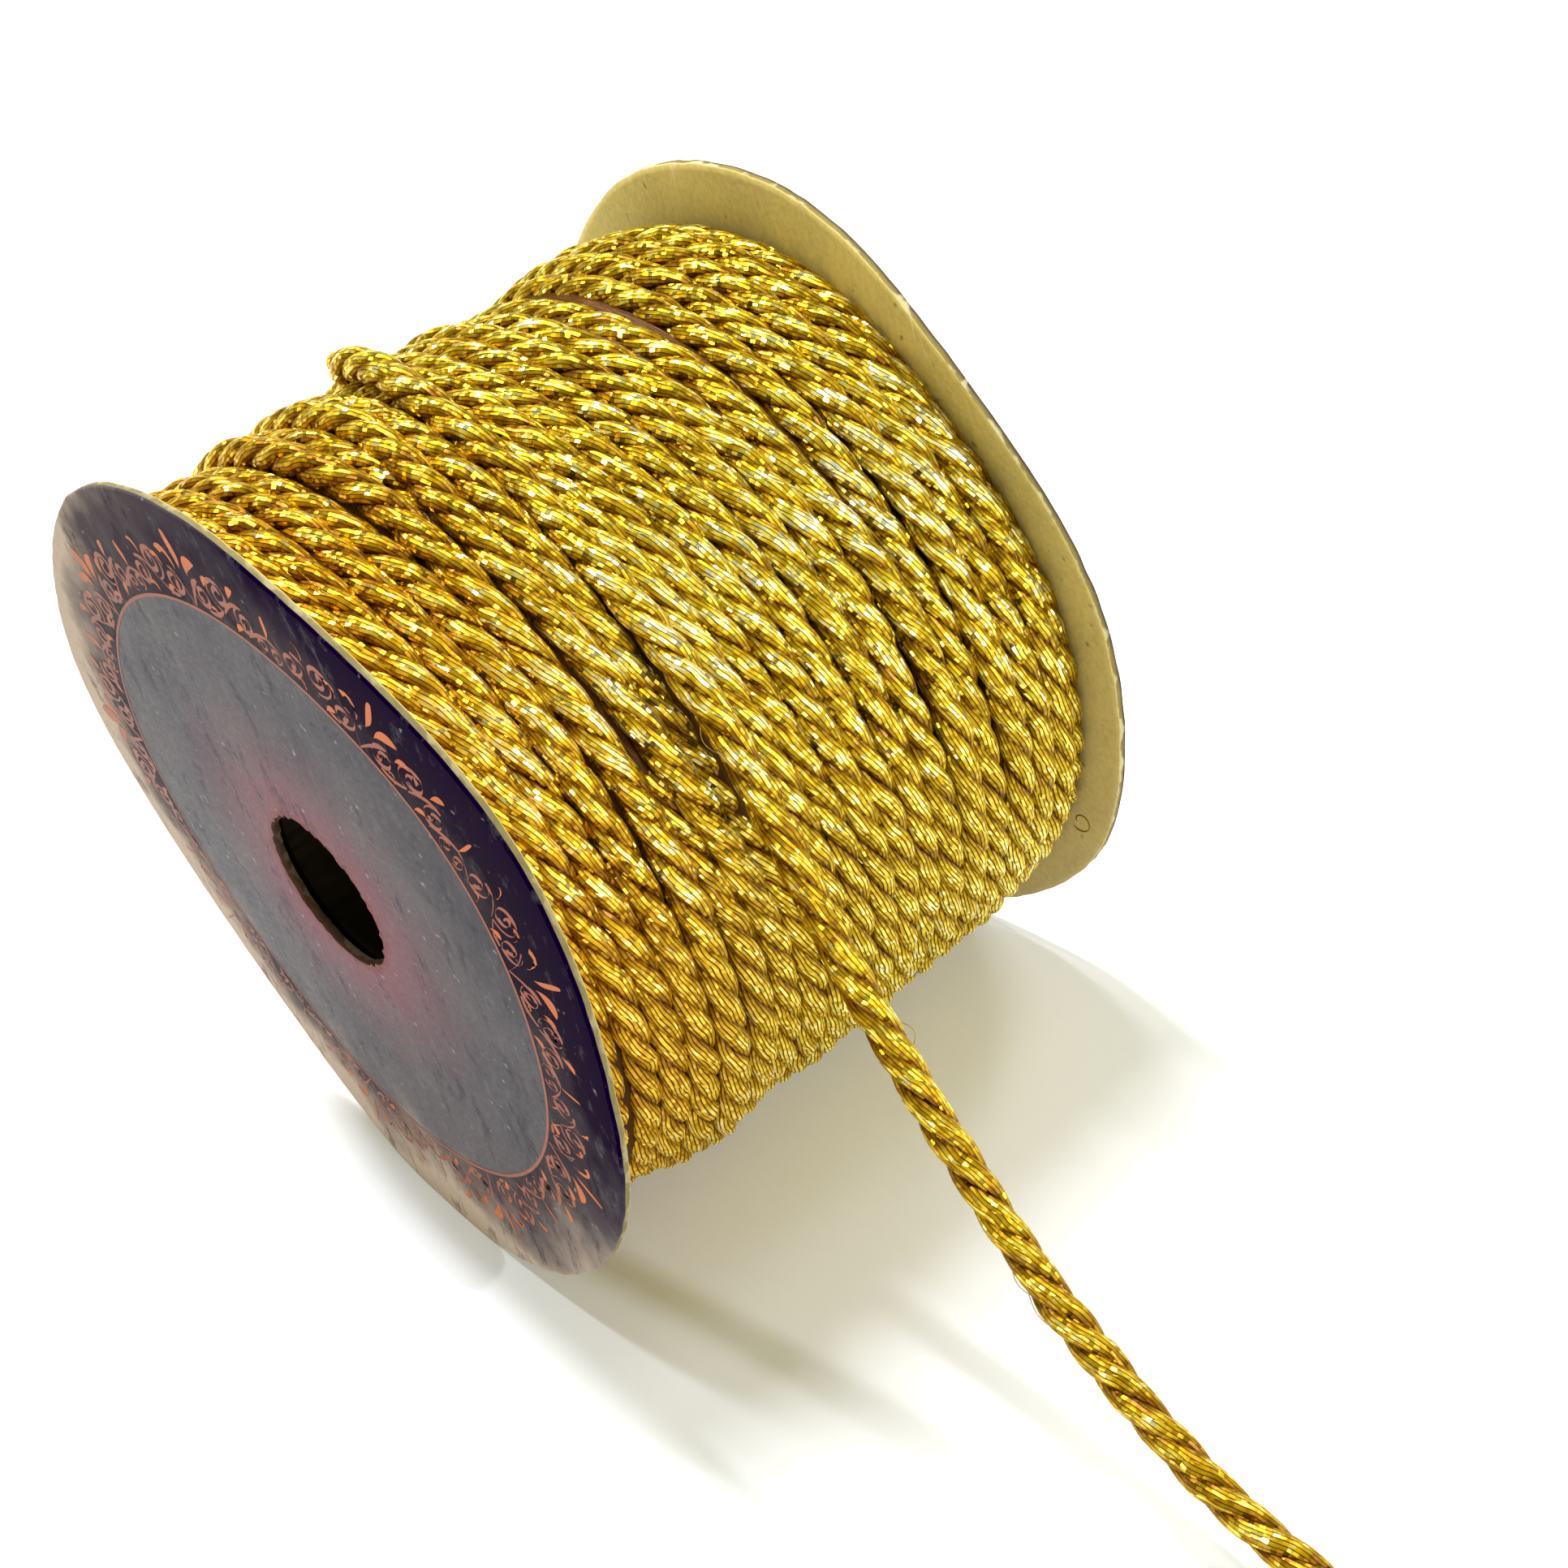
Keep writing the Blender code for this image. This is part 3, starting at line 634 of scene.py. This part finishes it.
# Each turn's place along the spool at those angles, and how far it has sunk into the layer.
CHART = (
    ((-31.9, -31.6, -31.5, -31.4, -31.3, -31.2, -30.9, -30.9), (0.6,) * 8),
    ((-28.8, -28.7, -28.6, -28.4, -28.3, -28.1, -27.6, -27.5), (0.0,) * 8),
    ((-25.4, -25.2, -25.1, -25.2, -25.2, -25.0, -24.4, -24.4), (0.3,) * 8),
    ((-22.8, -22.4, -21.9, -21.9, -22.1, -21.8, -21.5, -21.5),
     (0.5, 0.4, 0.1, 0.0, 0.1, 0.2, 0.1, 0.0)),
    ((-19.2, -18.8, -18.8, -18.8, -18.5, -18.4, -18.2, -17.9),
     (-0.4, -0.4, -0.3, -0.1, 0.0, 0.0, 0.0, 0.0)),
    ((-15.9, -15.5, -15.4, -15.3, -15.5, -15.5, -14.7, -14.2),
     (1.0, 2.0, 2.8, 2.8, 2.6, 1.9, 0.5, 0.2)),
    ((-12.9, -14.4, -15.2, -15.1, -14.1, -12.8, -11.3, -10.6),
     (0.2, 0.1, 0.0, 0.0, 0.0, 0.1, 0.4, 0.4)),
    ((-10.4, -11.3, -12.1, -12.0, -11.3, -10.3, -8.6, -7.4),
     (0.7, 0.2, 0.0, 0.3, 1.8, 2.6, 1.4, 0.4)),
    ((-5.8, -5.6, -5.9, -6.0, -5.6, -5.0, -4.6, -4.3),
     (1.4, 1.2, 0.5, 0.1, 0.1, 0.0, 0.0, 0.0)),
    ((-4.0, -3.6, -3.3, -3.1, -2.6, -2.1, -1.4, -1.3),
     (0.2, 0.2, 0.1, 0.0, 0.2, 0.2, 0.2, 0.2)),
    ((-1.2, -0.8, -0.1, 0.2, 0.6, 0.9, 1.6, 1.6),
     (0.3, 0.1, 0.0, 0.1, 0.0, 0.0, 0.1, 0.1)),
    ((1.9, 2.4, 3.4, 3.6, 3.8, 3.9, 4.6, 4.6),
     (0.4, 0.5, 0.3, 0.0, 0.1, 0.2, 0.0, 0.0)),
    ((4.8, 5.9, 6.6, 7.0, 7.2, 7.2, 7.6, 7.6),
     (0.0, 0.0, 0.0, 0.1, 0.0, 0.0, 0.1, 0.1)),
    ((8.3, 9.4, 9.8, 10.2, 10.5, 10.5, 10.9, 10.8),
     (0.5, 0.3, 0.1, 0.0, 0.0, 0.1, 0.0, 0.0)),
    ((12.5, 12.9, 13.5, 13.4, 14.4, 14.5, 14.1, 14.2),
     (0.9, 0.5, 0.2, 0.2, 0.0, 0.0, 0.0, 0.0)),
    ((17.0, 17.0, 17.4, 17.4, 18.0, 18.0, 17.3, 17.3),
     (0.4, 0.2, 0.1, 0.4, 1.3, 1.2, 0.3, 0.1)),
    ((20.9, 20.7, 21.0, 21.2, 21.3, 21.0, 20.9, 20.8),
     (0.5, 0.6, 0.2, 0.0, 0.0, 0.0, 0.0, 0.0)),
    ((24.1, 24.0, 24.2, 24.4, 24.4, 24.3, 24.5, 24.3),
     (0.2, 0.0, 0.0, 0.0, 0.1, 0.2, 0.2, 0.2)),
    ((27.2, 27.4, 27.6, 27.8, 27.8, 27.8, 27.9, 27.8),
     (0.2, 0.2, 0.1, 0.0, 0.1, 0.2, 0.3, 0.3)),
    ((30.6, 30.6, 30.5, 30.4, 30.4, 30.4, 30.5, 30.6), (1.4,) * 8),
)
# The outside's radius along the spool: at the top, at the underside and between them.
CREST_PLACES = (-32.0, -28.0, -22.5, -17.0, -12.0, -5.0, 0.0, 8.0, 16.0, 20.0, 28.0)
CREST_TOP = (41.8, 41.8, 41.1, 42.1, 42.7, 42.0, 41.9, 41.3, 41.3, 42.2, 41.3)
CREST_MIDDLE = (41.9, 42.0, 42.0, 42.2, 42.3, 42.2, 42.1, 42.0, 42.0, 42.2, 42.0)
CREST_UNDER = (40.2, 40.6, 42.3, 43.4, 42.6, 43.3, 43.2, 42.9, 43.0, 43.1, 42.3)
CREST_ANGLES = (0.0, 65.0, 140.0, 224.0, 260.0, 330.0, 360.0)
EASE = 15  # degrees to each side over which the chart's steps are smoothed
EDGE_GAP = 1.85  # least distance from a turn's centre line to a flange's inner face
LAYER_PIECES = 3
# The layer below: its bore and its ribs, which stand for turns.
UNDER_BORE, UNDER_RADIUS, UNDER_RIB, UNDER_PITCH, UNDER_TURNS = 12.2, 38.1, 1.75, 3.45, 18
UNDER_ENDS, UNDER_FIRST = (-31.6, 31.0), -29.6


def crest(place, angle):
    """The radius of the layer's outside at a place along the spool and an angle round it."""
    top = np.interp(place, CREST_PLACES, CREST_TOP)
    middle = np.interp(place, CREST_PLACES, CREST_MIDDLE)
    under = np.interp(place, CREST_PLACES, CREST_UNDER)
    return np.interp(angle % 360.0, CREST_ANGLES, (top, top, middle, under, under, middle, top))


sweep = np.arange(CHART_ANGLES[0] - 150.0, 360.0 * (len(CHART) - 1) + 300.0, 1.0)
kernel = np.exp(-0.5 * (np.arange(-EASE, EASE + 1) / 5.0) ** 2)
kernel /= kernel.sum()


def swept(column):
    """A column of the chart for every degree of the whole layer, with its steps smoothed."""
    angles = [360.0 * number + angle for number in range(len(CHART)) for angle in CHART_ANGLES]
    line = np.interp(sweep, angles, [value for row in CHART for value in row[column]])
    return np.convolve(np.pad(line, EASE, mode="edge"), kernel, mode="valid")


layer_x, layer_sunk = swept(0), swept(1)
layer_x += 0.16 * smooth_noise(len(sweep), 24.0, 31)
layer_radius = np.array([crest(x, angle) for x, angle in zip(layer_x, sweep)])
layer_radius += 0.12 * smooth_noise(len(sweep), 30.0, 32) - 0.5 * CORD_DIAMETER - layer_sunk
angles = np.radians(sweep)
layer_x = np.clip(layer_x, -INNER_HALF + board_shift(layer_radius, angles, WARP_FRONT) + EDGE_GAP,
                  INNER_HALF + board_shift(layer_radius, angles, WARP_BACK) - EDGE_GAP)
layer_path = np.stack([layer_x, layer_radius * np.cos(angles), layer_radius * np.sin(angles)],
                      axis=1)
layer_path = resample(layer_path, LAY / 15.0)
rings, along_uv, depth_uv = strand_rings(layer_path, 12, seed=60)
strands = close_ends(rings), along_uv, depth_uv
cuts = np.linspace(0, len(layer_path) - 1, LAYER_PIECES + 1).astype(int)
for number, (first, last) in enumerate(zip(cuts, cuts[1:]), start=1):
    cord_piece(f"wound_cord_{number}", strands, slice(first, last + 1), ["winding"])


def turned_mesh(profile, segments):
    """Points and quads of a closed profile of (along, radius) turned about the spool's axis."""
    angles = np.linspace(0.0, 2.0 * np.pi, segments, endpoint=False)
    along, radius = np.asarray(profile, float).T
    points = np.stack(np.broadcast_arrays(along, radius * np.cos(angles)[:, None],
                                          radius * np.sin(angles)[:, None]), axis=-1)
    index = np.arange(points.size // 3).reshape(points.shape[:2])
    right_of = np.roll(index, -1, axis=1)
    quads = np.stack([index, right_of, np.roll(right_of, -1, axis=0), np.roll(index, -1, axis=0)],
                     axis=-1)
    return points, quads.reshape(-1, 4)


# The layer below, seen only in the hollows between turns.
under = [(UNDER_ENDS[0], UNDER_BORE)]
for number in range(UNDER_TURNS):
    middle = UNDER_FIRST + UNDER_PITCH * number
    for aside in (-1.6, -0.9, 0.0, 0.9, 1.6):
        under.append((middle + aside, UNDER_RADIUS + math.sqrt(UNDER_RIB ** 2 - aside ** 2)))
under.append((UNDER_ENDS[1], UNDER_BORE))
points, quads = turned_mesh(under, 120)
corner = points.reshape(-1, 3)[quads]
uv = np.stack([np.arctan2(corner[..., 2], corner[..., 1]) * 8.0, corner[..., 0] * 2.0], axis=-1)
# The layer below takes a depth that puts it in the painted crease shade.
depth = np.full_like(uv, 0.47)
under_layer = new_object(
    "under_layer", quads_mesh("under_layer", to_world(points.reshape(-1, 3)), quads,
                              {"along": uv.reshape(-1, 2), "depth": depth.reshape(-1, 2)}),
    [SHADED_GOLD_BELOW_AND_THREAD])


# ---- flanges
RING_RADIUS = 33.6  # the printed ring between the label's middle and its border
DISC_RADII = [9.0, 9.5, 10.5, 12.0, 14.0, 17.0, 20.0, 24.0, 28.0, 31.0, RING_RADIUS, 36.0, 38.5,
              41.0, 43.0, 44.2]
# The materials' places on a disc, in the order in which flange takes them.
INNER_FACE, CUT_EDGE, MIDDLE, BORDER, ROUNDED_EDGE, HOLE = range(6)
BEVEL, HOLE_BEVEL, HOLE_CHAMFER = 0.12, 0.08, 0.10
RAGGED_FROM = 44.5  # the rim is ragged beyond this radius
SEGMENTS = 480


def flange(name, inner, outward, thickness, rounding, warp, replaced, materials, hole_rag,
           seed):
    """A card disc with a rounded printed edge, warped, its rim ragged and its hole slightly torn.

    The materials are those of its inner face, cut edge, outer face's middle and border, rounded
    outer edge and hole.
    """
    outer = inner + outward * thickness
    profile = [(inner, radius, INNER_FACE) for radius in DISC_RADII + [FLANGE_RADIUS - BEVEL]]
    profile += [(inner + outward * BEVEL, FLANGE_RADIUS, CUT_EDGE),
                (inner + outward * 0.5 * thickness, FLANGE_RADIUS, CUT_EDGE)]
    for step in range(4):
        angle = 0.5 * math.pi * step / 4.0
        profile.append((outer - outward * rounding * (1.0 - math.sin(angle)),
                        FLANGE_RADIUS - rounding * (1.0 - math.cos(angle)), ROUNDED_EDGE))
    profile += [(outer, FLANGE_RADIUS - rounding, BORDER)]
    profile += [(outer, radius, BORDER if radius > RING_RADIUS else MIDDLE)
                for radius in reversed(DISC_RADII)]
    profile += [(outer, SPINDLE_RADIUS + HOLE_BEVEL, HOLE),
                (outer - outward * HOLE_CHAMFER, SPINDLE_RADIUS, HOLE),
                (inner + outward * HOLE_CHAMFER, SPINDLE_RADIUS, HOLE),
                (inner, SPINDLE_RADIUS + HOLE_BEVEL, HOLE)]
    points, quads = turned_mesh([row[:2] for row in profile], SEGMENTS)
    zones = np.array([row[2] for row in profile])
    angles = np.linspace(0.0, 2.0 * np.pi, SEGMENTS, endpoint=False)
    radius = np.linalg.norm(points[..., 1:], axis=-1)
    rag = 0.07 * smooth_noise(SEGMENTS, 2.5, seed)
    rag -= 0.25 * np.clip(smooth_noise(SEGMENTS, 9.0, seed + 3) - 0.75, 0, 1)
    hole = hole_rag * np.clip(smooth_noise(SEGMENTS, 6.0, 90), -0.2, 1.0)
    new_radius = radius + np.where(radius > RAGGED_FROM, rag[:, None], 0.0)
    new_radius -= np.where(zones[None, :] == HOLE, hole[:, None], 0.0)
    points[..., 1:] *= (new_radius / radius)[..., None]
    points[..., 0] += board_shift(radius, angles[:, None], warp)
    points[..., 2] = np.maximum(points[..., 2], -AXIS_HEIGHT)
    if outward > 0:
        quads = quads[:, ::-1]
    share = np.clip((np.array([row[0] for row in profile]) - inner) / (outer - inner), 0.0, 1.0)
    share = np.tile(share, SEGMENTS)
    turn = np.repeat(angles, len(profile))
    uv = np.stack([share[quads], turn[quads]], axis=-1).reshape(-1, 2)
    mesh = quads_mesh(name, to_world(points.reshape(-1, 3)), quads, {"board": uv})
    mesh.polygons.foreach_set("material_index", np.tile(zones, SEGMENTS).astype(np.int32))
    mesh.set_sharp_from_angle(angle=math.radians(50.0))
    return new_object(name, mesh, materials, [replaced])


def faces_outward(obj):
    bm = bmesh.new()
    bm.from_mesh(obj.data)
    bmesh.ops.recalc_face_normals(bm, faces=bm.faces)
    bm.to_mesh(obj.data)
    bm.free()


THIN = 0.95  # the boards' thickness to the eye, less than the solids'
front = flange("front_disc", -INNER_HALF - BOARD + THIN, -1.0, THIN, 0.28, WARP_FRONT,
               "flange_front",
               [BOARD_FACE, FRONT_EDGE, LABEL, BAND, LABEL_EDGE, HOLE_EDGE], 0.3, seed=10)
back = flange("back_disc", INNER_HALF, 1.0, THIN, 0.2, WARP_BACK, "flange_back",
              [BOARD_FACE, BACK_EDGE, BOARD_FACE, BOARD_FACE, BACK_EDGE, HOLE_EDGE], 0.2, seed=9)
for obj in (front, back, under_layer):
    faces_outward(obj)
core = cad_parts["core_tube"]
core.data.materials.clear()
core.data.materials.append(PAINTED_SHADE_CORE)


# ---- printed border
PRINT_LIFT = 0.03
REPEATS = 9
FIRST_REPEAT = 8.0  # degrees
# Each repeat's ornament lies on both sides of its middle. The angles aside are in degrees.
FAN = (  # lean, length, width
    (-0.85, 3.1, 1.35), (0.0, 4.1, 2.3), (0.85, 3.1, 1.35))
SCROLLS = (  # angle aside, radius, size, turns, which way it winds, thickness
    (4.0, 36.0, 1.65, 1.5, 1.0, 0.62), (9.2, 37.6, 1.95, 1.6, -1.0, 0.66),
    (14.8, 36.3, 1.60, 1.5, 1.0, 0.60), (18.6, 35.1, 0.95, 1.2, -1.0, 0.48))
VINES = (  # angle aside and radius of the first end, and of the last, swell, thickness
    (0.0, 34.0, 4.0, 37.65, 0.5, 0.52), (4.4, 34.4, 9.2, 35.6, -0.5, 0.54),
    (9.6, 35.6, 14.8, 37.9, 0.7, 0.54), (15.0, 34.7, 20.0, 36.6, 0.3, 0.50))
LEAVES = (  # angle aside, radius, length, width, lean
    (5.8, 37.4, 1.9, 0.85, 0.9), (12.4, 38.2, 2.0, 0.95, 0.6),
    (7.4, 34.1, 1.5, 0.75, -0.8), (12.0, 34.1, 1.5, 0.75, 0.8))


def print_on_disc(name, strips, material):
    """Flat strips given by points (angle in degrees, radius) and widths, laid on the front face."""
    vertices, quads = [], []
    for centre, widths in strips:
        centre = np.asarray(centre, float)
        flat = np.stack([np.radians(centre[:, 0]) * centre[:, 1], centre[:, 1]], axis=1)
        heading = unit(np.gradient(flat, axis=0))
        side = np.stack([-heading[:, 1], heading[:, 0]], axis=1) * (
            0.5 * np.asarray(widths))[:, None]
        start = len(vertices)
        for point, offset, reference in zip(flat, side, centre[:, 1]):
            for sign in (-1.0, 1.0):
                place = point + sign * offset
                angle, radius = place[0] / reference, place[1]
                x = -INNER_HALF - BOARD - PRINT_LIFT + board_shift(radius, angle, WARP_FRONT)
                vertices.append((x, radius * math.cos(angle), radius * math.sin(angle)))
        for i in range(len(flat) - 1):
            a = start + 2 * i
            quads.append((a, a + 1, a + 3, a + 2))
    mesh = quads_mesh(name, to_world(vertices), np.array(quads))
    new_object(name, mesh, [material])


def scroll(angle, radius, size, turns, direction, start, thickness):
    """A spiral about a point of the border, drawn from its outside to a dot in its middle."""
    t = np.linspace(0.0, 1.0, 34)
    reach = size * (1.0 - 0.80 * t)
    heading = start + direction * 2.0 * math.pi * turns * t
    centre = np.stack([angle + np.degrees(reach * np.cos(heading) / radius),
                       radius + reach * np.sin(heading)], axis=1)
    width = thickness * (0.35 + 0.65 * np.sin(math.pi * np.clip(t, 0.0, 0.8)))
    width[-5:] = thickness * np.array([1.0, 1.7, 2.0, 1.7, 0.6])
    return centre, width


def leaf(angle, radius, length, width, lean):
    """A teardrop that leans to one side."""
    t = np.linspace(0.0, 1.0, 14)
    bend = lean * t ** 1.3
    centre = np.stack([angle + np.degrees(length * np.sin(bend) * t / radius),
                       radius + length * np.cos(bend) * t], axis=1)
    return centre, width * np.sin(np.pi * t ** 1.5) ** 0.8 + 0.05


def vine(first_angle, first_radius, last_angle, last_radius, swell, thickness):
    """A stem that bows outwards between two points of the border."""
    t = np.linspace(0.0, 1.0, 16)
    centre = np.stack([first_angle + (last_angle - first_angle) * t,
                       first_radius + (last_radius - first_radius) * t
                       + swell * np.sin(np.pi * t)], axis=1)
    return centre, thickness * (0.6 + 0.4 * np.sin(np.pi * t))


ring = np.linspace(0.0, 360.0, 241)
stems = [(np.stack([ring, np.full_like(ring, RING_RADIUS)], axis=1), np.full(len(ring), 0.36))]
petals = []
for repeat in range(REPEATS):
    base = 360.0 * repeat / REPEATS + FIRST_REPEAT
    for lean, length, width in FAN:
        petals.append(leaf(base + 2.0 * lean, 38.0 - 0.5 * abs(lean), length, width, lean))
    petals.append(leaf(base + 180.0 / REPEATS, 36.6, 2.9, 1.3, 0.0))
    for side in (-1.0, 1.0):
        for aside, radius, size, turns, way, thickness in SCROLLS:
            stems.append(scroll(base + side * aside, radius, size, turns, side * way,
                                way * math.pi * 0.5, thickness))
        for first, first_radius, last, last_radius, swell, thickness in VINES:
            stems.append(vine(base + side * first, first_radius, base + side * last,
                              last_radius, swell, thickness))
        for aside, radius, length, width, lean in LEAVES:
            petals.append(leaf(base + side * aside, radius, length, width, side * lean))
print_on_disc("printed_petals", petals, INK)
print_on_disc("printed_stems", stems, LINE_INK)


# ---- fine hairs
HAIR_SIDES = 3
FRAYED_FILAMENTS, FRAY_LENGTH = 90, 1.1  # at each end of the cord
WOUND_STRAY, FREE_STRAY = 1.75, 1.65  # how far from the cord's middle stray filaments start


def hair_object(name, hairs, thickness, material=GOLD):
    """Three-sided hairs through lists of points."""
    vertices, quads = [], []
    for hair in hairs:
        _, normals, binormals = path_frames(hair)
        start = len(vertices)
        for i, point in enumerate(hair):
            taper = thickness * (1.0 if 0 < i < len(hair) - 1 else 0.3)
            for k in range(HAIR_SIDES):
                angle = 2.0 * math.pi * k / HAIR_SIDES
                vertices.append(point + taper * (math.cos(angle) * normals[i]
                                                 + math.sin(angle) * binormals[i]))
        for i in range(len(hair) - 1):
            for k in range(HAIR_SIDES):
                a, b = start + HAIR_SIDES * i + k, start + HAIR_SIDES * i + (k + 1) % HAIR_SIDES
                quads.append((a, b, b + HAIR_SIDES, a + HAIR_SIDES))
    quads = np.array(quads)
    uv = np.tile([[0.0, 0.0], [0.0, 0.4], [3.0, 0.4], [3.0, 0.0]], (len(quads), 1))
    # Hairs take a crest's depth, so they get the painted crest highlight and none of the painted
    # crease shade.
    depth = np.full((len(quads) * 4, 2), 0.9)
    mesh = quads_mesh(name, to_world(vertices), quads, {"along": uv, "depth": depth})
    new_object(name, mesh, [material])


def frayed_end(path, rings, seed):
    """Cut filaments that stand out of a cord's end, path[0] being the end."""
    generator = np.random.default_rng(seed)
    direction = unit(path[0] - path[4])
    hairs = []
    for _ in range(FRAYED_FILAMENTS):
        strand = rings[generator.integers(STRANDS), 2]
        middle = strand.mean(axis=0)
        point = strand[generator.integers(len(strand))]
        root = middle + (point - middle) * generator.uniform(0.2, 0.95)
        flare = unit(root - path[2] + 1e-6) * generator.uniform(0.0, 0.55)
        length = FRAY_LENGTH * generator.uniform(0.5, 1.2)
        bend = generator.normal(0.0, 0.25, 3)
        t = np.linspace(-0.25, 1.0, 5)[:, None]
        hairs.append(root + length * t * (direction + flare) + length * (t.clip(0, 1) ** 2) * bend)
    return hairs


def stray(root, along, outward, length, height, seed):
    """A loosened filament that bows out of the cord, tied down at both of its ends or at one."""
    generator = np.random.default_rng(seed)
    t = np.linspace(0.0, 1.0, 9)[:, None]
    free = generator.uniform(0.0, 1.0) < 0.4
    bow = height * (t ** 1.5 if free else np.sin(np.pi * t))
    aside = np.cross(along, outward) * generator.normal(0.0, 0.35)
    return root + length * t * along + bow * (outward + aside * t) - 0.15 * outward


hair_object("frayed_ends", frayed_end(free_path, free_rings, 21)
            + frayed_end(free_path[::-1], free_rings[:, ::-1], 22), 0.055)
strays = []
generator = np.random.default_rng(77)
for number in range(46):
    place = generator.integers(40, len(layer_path) - 40)
    root, along = layer_path[place], unit(layer_path[place + 2] - layer_path[place - 2])
    outward = unit(root * (0.0, 1.0, 1.0) + (generator.normal(0.0, 14.0), 0.0, 0.0))
    strays.append(stray(root + WOUND_STRAY * outward, along, outward,
                        generator.uniform(1.2, 4.2), generator.uniform(0.25, 0.9), number))
for number in range(16):
    place = generator.integers(30, len(free_path) - 30)
    root, along = free_path[place], unit(free_path[place + 2] - free_path[place - 2])
    outward = unit(np.cross(along, generator.normal(0.0, 1.0, 3)))
    strays.append(stray(root + FREE_STRAY * outward, along, outward,
                        generator.uniform(1.5, 4.5), generator.uniform(0.3, 1.1), 100 + number))
hair_object("stray_filaments", strays, 0.045)

# A curl of brown thread low on the plain flange.
THREAD_PLACE = np.array([29.5, -38.3, -18.3])
t = np.linspace(0.0, 2.0 * np.pi, 15)[:, None]
thread = THREAD_PLACE + (1.0 - np.cos(t)) * (0.25, -0.75, 0.1) \
    + np.sin(t) * (0.0, 0.25, 0.9) + t * (0.0, 0.1, -0.12)
hair_object("loose_thread", [thread], 0.10, SHADED_GOLD_BELOW_AND_THREAD)


# ---- floor and light
LIGHT_COLOUR = (0.97, 1.0, 1.0)
ROOM_COLOUR = (1.0, 0.99, 0.62, 1.0)
ROOM_WALLS, ROOM_CEILING = 1.35, 0.36
ROOM_FRONT, ROOM_BACK = 1.0, 0.55
LIGHTS = (  # name, place in metres, width, length, watts, whether it is aimed at the spool
    ("strip_main", (0.09, 0.30, 1.15), 0.04, 0.50, 8.4, False),
    ("strip_back", (0.05, 0.85, 1.05), 0.06, 0.60, 20.0, False),
    ("strip_left", (-0.19, 0.38, 1.15), 0.05, 0.60, 3.8, False),
    ("strip_right", (0.26, 0.30, 1.05), 0.05, 0.40, 2.5, False),
    ("soft_right", (0.62, -0.22, 0.95), 0.25, 0.25, 1.5, True),
    ("side_right", (0.85, 0.05, 0.62), 0.20, 0.20, 1.8, True),
    ("low_front", (0.32, -0.97, 0.54), 0.06, 0.06, 4.6, True),
    ("soft_front", (-0.1, -1.1, 0.45), 1.2, 0.5, 1.5, True),
)


def stage_plane():
    bm = bmesh.new()
    bmesh.ops.create_grid(bm, x_segments=1, y_segments=1, size=3.0)
    mesh = bpy.data.meshes.new("floor")
    bm.to_mesh(mesh)
    bm.free()
    obj = bpy.data.objects.new("floor", mesh)
    bpy.context.scene.collection.objects.link(obj)
    mesh.materials.append(Nodes("floor").shade({
        "Base Color": (0.84, 0.85, 0.92, 1.0), "Roughness": 0.9, "Specular IOR Level": 0.1}))


def studio_light(name, place, width, length, power, aimed):
    """A long light that faces down, or one aimed at the spool."""
    data = bpy.data.lights.new(name, "AREA")
    data.shape = "RECTANGLE"
    data.size, data.size_y = width, length
    data.energy = power
    data.color = LIGHT_COLOUR
    obj = bpy.data.objects.new(name, data)
    obj.location = place
    if aimed:
        heading = Vector((0.0, 0.0, AXIS_HEIGHT * MM)) - Vector(place)
        obj.rotation_euler = heading.to_track_quat("-Z", "Y").to_euler()
    bpy.context.scene.collection.objects.link(obj)


def pale_room():
    """Soft light from all round, stronger from the walls than from the ceiling or the back."""
    world = bpy.data.worlds.new("studio")
    bpy.context.scene.world = world
    world.use_nodes = True
    nodes, links = world.node_tree.nodes, world.node_tree.links
    direction = nodes.new("ShaderNodeTexCoord")
    split = nodes.new("ShaderNodeSeparateXYZ")
    links.new(direction.outputs["Generated"], split.inputs[0])
    strength = nodes.new("ShaderNodeMath")
    strength.operation = "MULTIPLY"
    for socket, axis, values in ((strength.inputs[0], 2, (0.10, 0.65, ROOM_WALLS, ROOM_CEILING)),
                                 (strength.inputs[1], 1, (-0.2, 0.7, ROOM_FRONT, ROOM_BACK))):
        share = nodes.new("ShaderNodeMapRange")
        for limit, value in zip(share.inputs[1:5], values):
            limit.default_value = value
        links.new(split.outputs[axis], share.inputs[0])
        links.new(share.outputs[0], socket)
    nodes["Background"].inputs[0].default_value = ROOM_COLOUR
    links.new(strength.outputs[0], nodes["Background"].inputs[1])


stage_plane()
pale_room()
for light in LIGHTS:
    studio_light(*light)
bpy.context.scene.view_settings.view_transform = "Standard"
